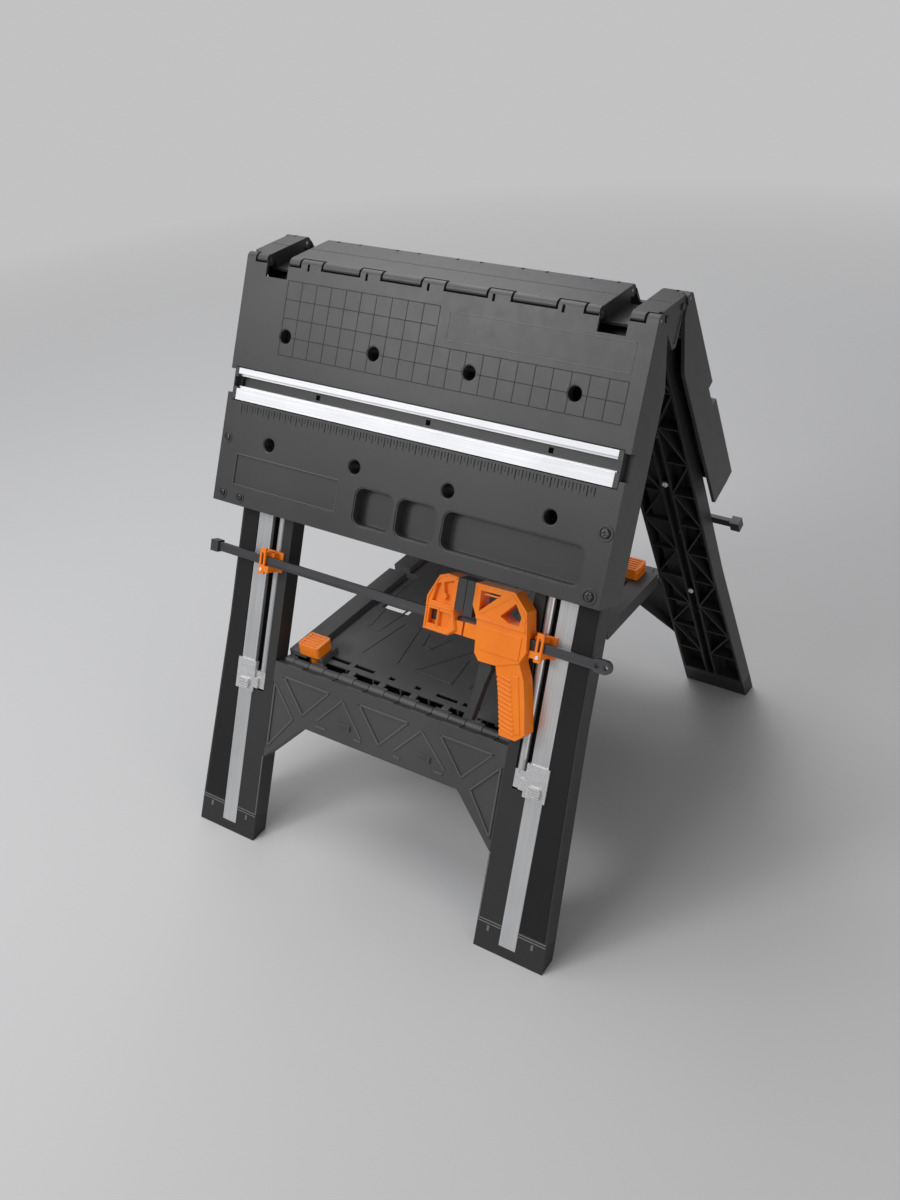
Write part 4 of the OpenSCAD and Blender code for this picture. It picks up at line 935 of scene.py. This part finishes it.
# Stage and light
stageLook = {
    "floorSize": 24.0, "floorDrop": 0.0005, "floorColour": (0.5, 0.5, 0.505, 1), "cloudScale": 0.6,
    "cloudLift": 1.04, "roughness": 0.9, "backdrop": (0.54, 0.54, 0.545, 1), "fadeStart": 1.3, "fadeEnd": 3.4,
    "softColour": (0.9, 0.92, 0.95, 1), "softStrength": 0.35,
}
lamps = {
    "keyLamp": {"spot": (-0.9, -2.3, 2.6), "aim": (0, 0, 0.45), "size": (1.8, 1.8), "power": 30},
    "topLamp": {"spot": (-1.0, 0.2, 2.9), "aim": (0, 0, 0.4), "size": (2.2, 2.2), "power": 42},
    "sheenLamp": {"spot": (-1.38, -1.85, 1.95), "aim": (0.0, -0.1, 0.75), "size": (0.7, 0.5), "power": 16},
    "deckLamp": {"spot": (-1.5, 2.0, 2.5), "aim": (0, 0, 0.8), "size": (1.2, 1.0), "power": 14},
    "rightLamp": {
        "spot": (2.6, -1.2, 0.7), "aim": (0.1, 0.1, 0.4), "size": (1.2, 1.2), "power": 13,
        "colour": (1.0, 0.84, 0.76),
    },
}


def makeStage():
    # Pale floor that fades into the backdrop, so that no far edge shows
    deselectAll()
    bpy.ops.mesh.primitive_plane_add(size=stageLook["floorSize"], location=(0, 0, -stageLook["floorDrop"]))
    floor = bpy.context.object
    floor.name = "floor"
    material, tree, shader, coords = startMaterial("floorPaper")
    cloud = addNoise(tree, coords.outputs["Object"], stageLook["cloudScale"], 2.0)
    colour = stageLook["floorColour"]
    lifted = tuple(value * stageLook["cloudLift"] for value in colour[:3]) + (1.0,)
    tree.links.new(addMix(tree, cloud, colour, lifted), shader.inputs["Base Color"])
    shader.inputs["Roughness"].default_value = stageLook["roughness"]
    length = tree.nodes.new("ShaderNodeVectorMath")
    length.operation = "LENGTH"
    tree.links.new(coords.outputs["Object"], length.inputs[0])
    fade = addRange(tree, length.outputs["Value"], stageLook["fadeStart"], stageLook["fadeEnd"], 0.0, 1.0)
    clear = tree.nodes.new("ShaderNodeBsdfTransparent")
    mix = tree.nodes.new("ShaderNodeMixShader")
    tree.links.new(fade, mix.inputs["Fac"])
    tree.links.new(shader.outputs["BSDF"], mix.inputs[1])
    tree.links.new(clear.outputs["BSDF"], mix.inputs[2])
    tree.links.new(mix.outputs["Shader"], tree.nodes["Material Output"].inputs["Surface"])
    floor.data.materials.append(material)


def addLamp(name, spot, aim, size, power, colour=(1, 1, 1)):
    deselectAll()
    bpy.ops.object.light_add(type="AREA", location=spot)
    lamp = bpy.context.object
    lamp.name = name
    lamp.data.shape = "RECTANGLE"
    lamp.data.size, lamp.data.size_y = size
    lamp.data.energy = power
    lamp.data.color = colour
    lamp.rotation_euler = (Vector(aim) - Vector(spot)).to_track_quat("-Z", "Y").to_euler()


def makeLight():
    world = bpy.data.worlds.new("studio")
    bpy.context.scene.world = world
    world.use_nodes = True
    tree = world.node_tree
    tree.nodes.clear()
    output = tree.nodes.new("ShaderNodeOutputWorld")
    soft = tree.nodes.new("ShaderNodeBackground")
    soft.inputs["Color"].default_value = stageLook["softColour"]
    soft.inputs["Strength"].default_value = stageLook["softStrength"]
    shown = tree.nodes.new("ShaderNodeBackground")
    shown.inputs["Color"].default_value = stageLook["backdrop"]
    shown.inputs["Strength"].default_value = 1.0
    path = tree.nodes.new("ShaderNodeLightPath")
    mix = tree.nodes.new("ShaderNodeMixShader")
    tree.links.new(path.outputs["Is Camera Ray"], mix.inputs["Fac"])
    tree.links.new(soft.outputs["Background"], mix.inputs[1])
    tree.links.new(shown.outputs["Background"], mix.inputs[2])
    tree.links.new(mix.outputs["Shader"], output.inputs["Surface"])
    for name, lamp in lamps.items():
        addLamp(name, **lamp)
    bpy.context.scene.view_settings.view_transform = "Standard"


addCamera()
finishes = makeMaterials()
dressNodes(finishes)
print("CAD nodes dressed")
makePanelMarks(finishes)
makeHingeGapShade(finishes)
makePanelExtras(finishes)
makeRelief(finishes)
makeShelfShadePlates(finishes)
makePanelScrews(finishes)
makeLegScrews(finishes)
makeSpineScrews(finishes)
makeClampTrim(finishes)
makeHolderScrews(finishes)
makeLegTrim(finishes)
makeStage()
makeLight()
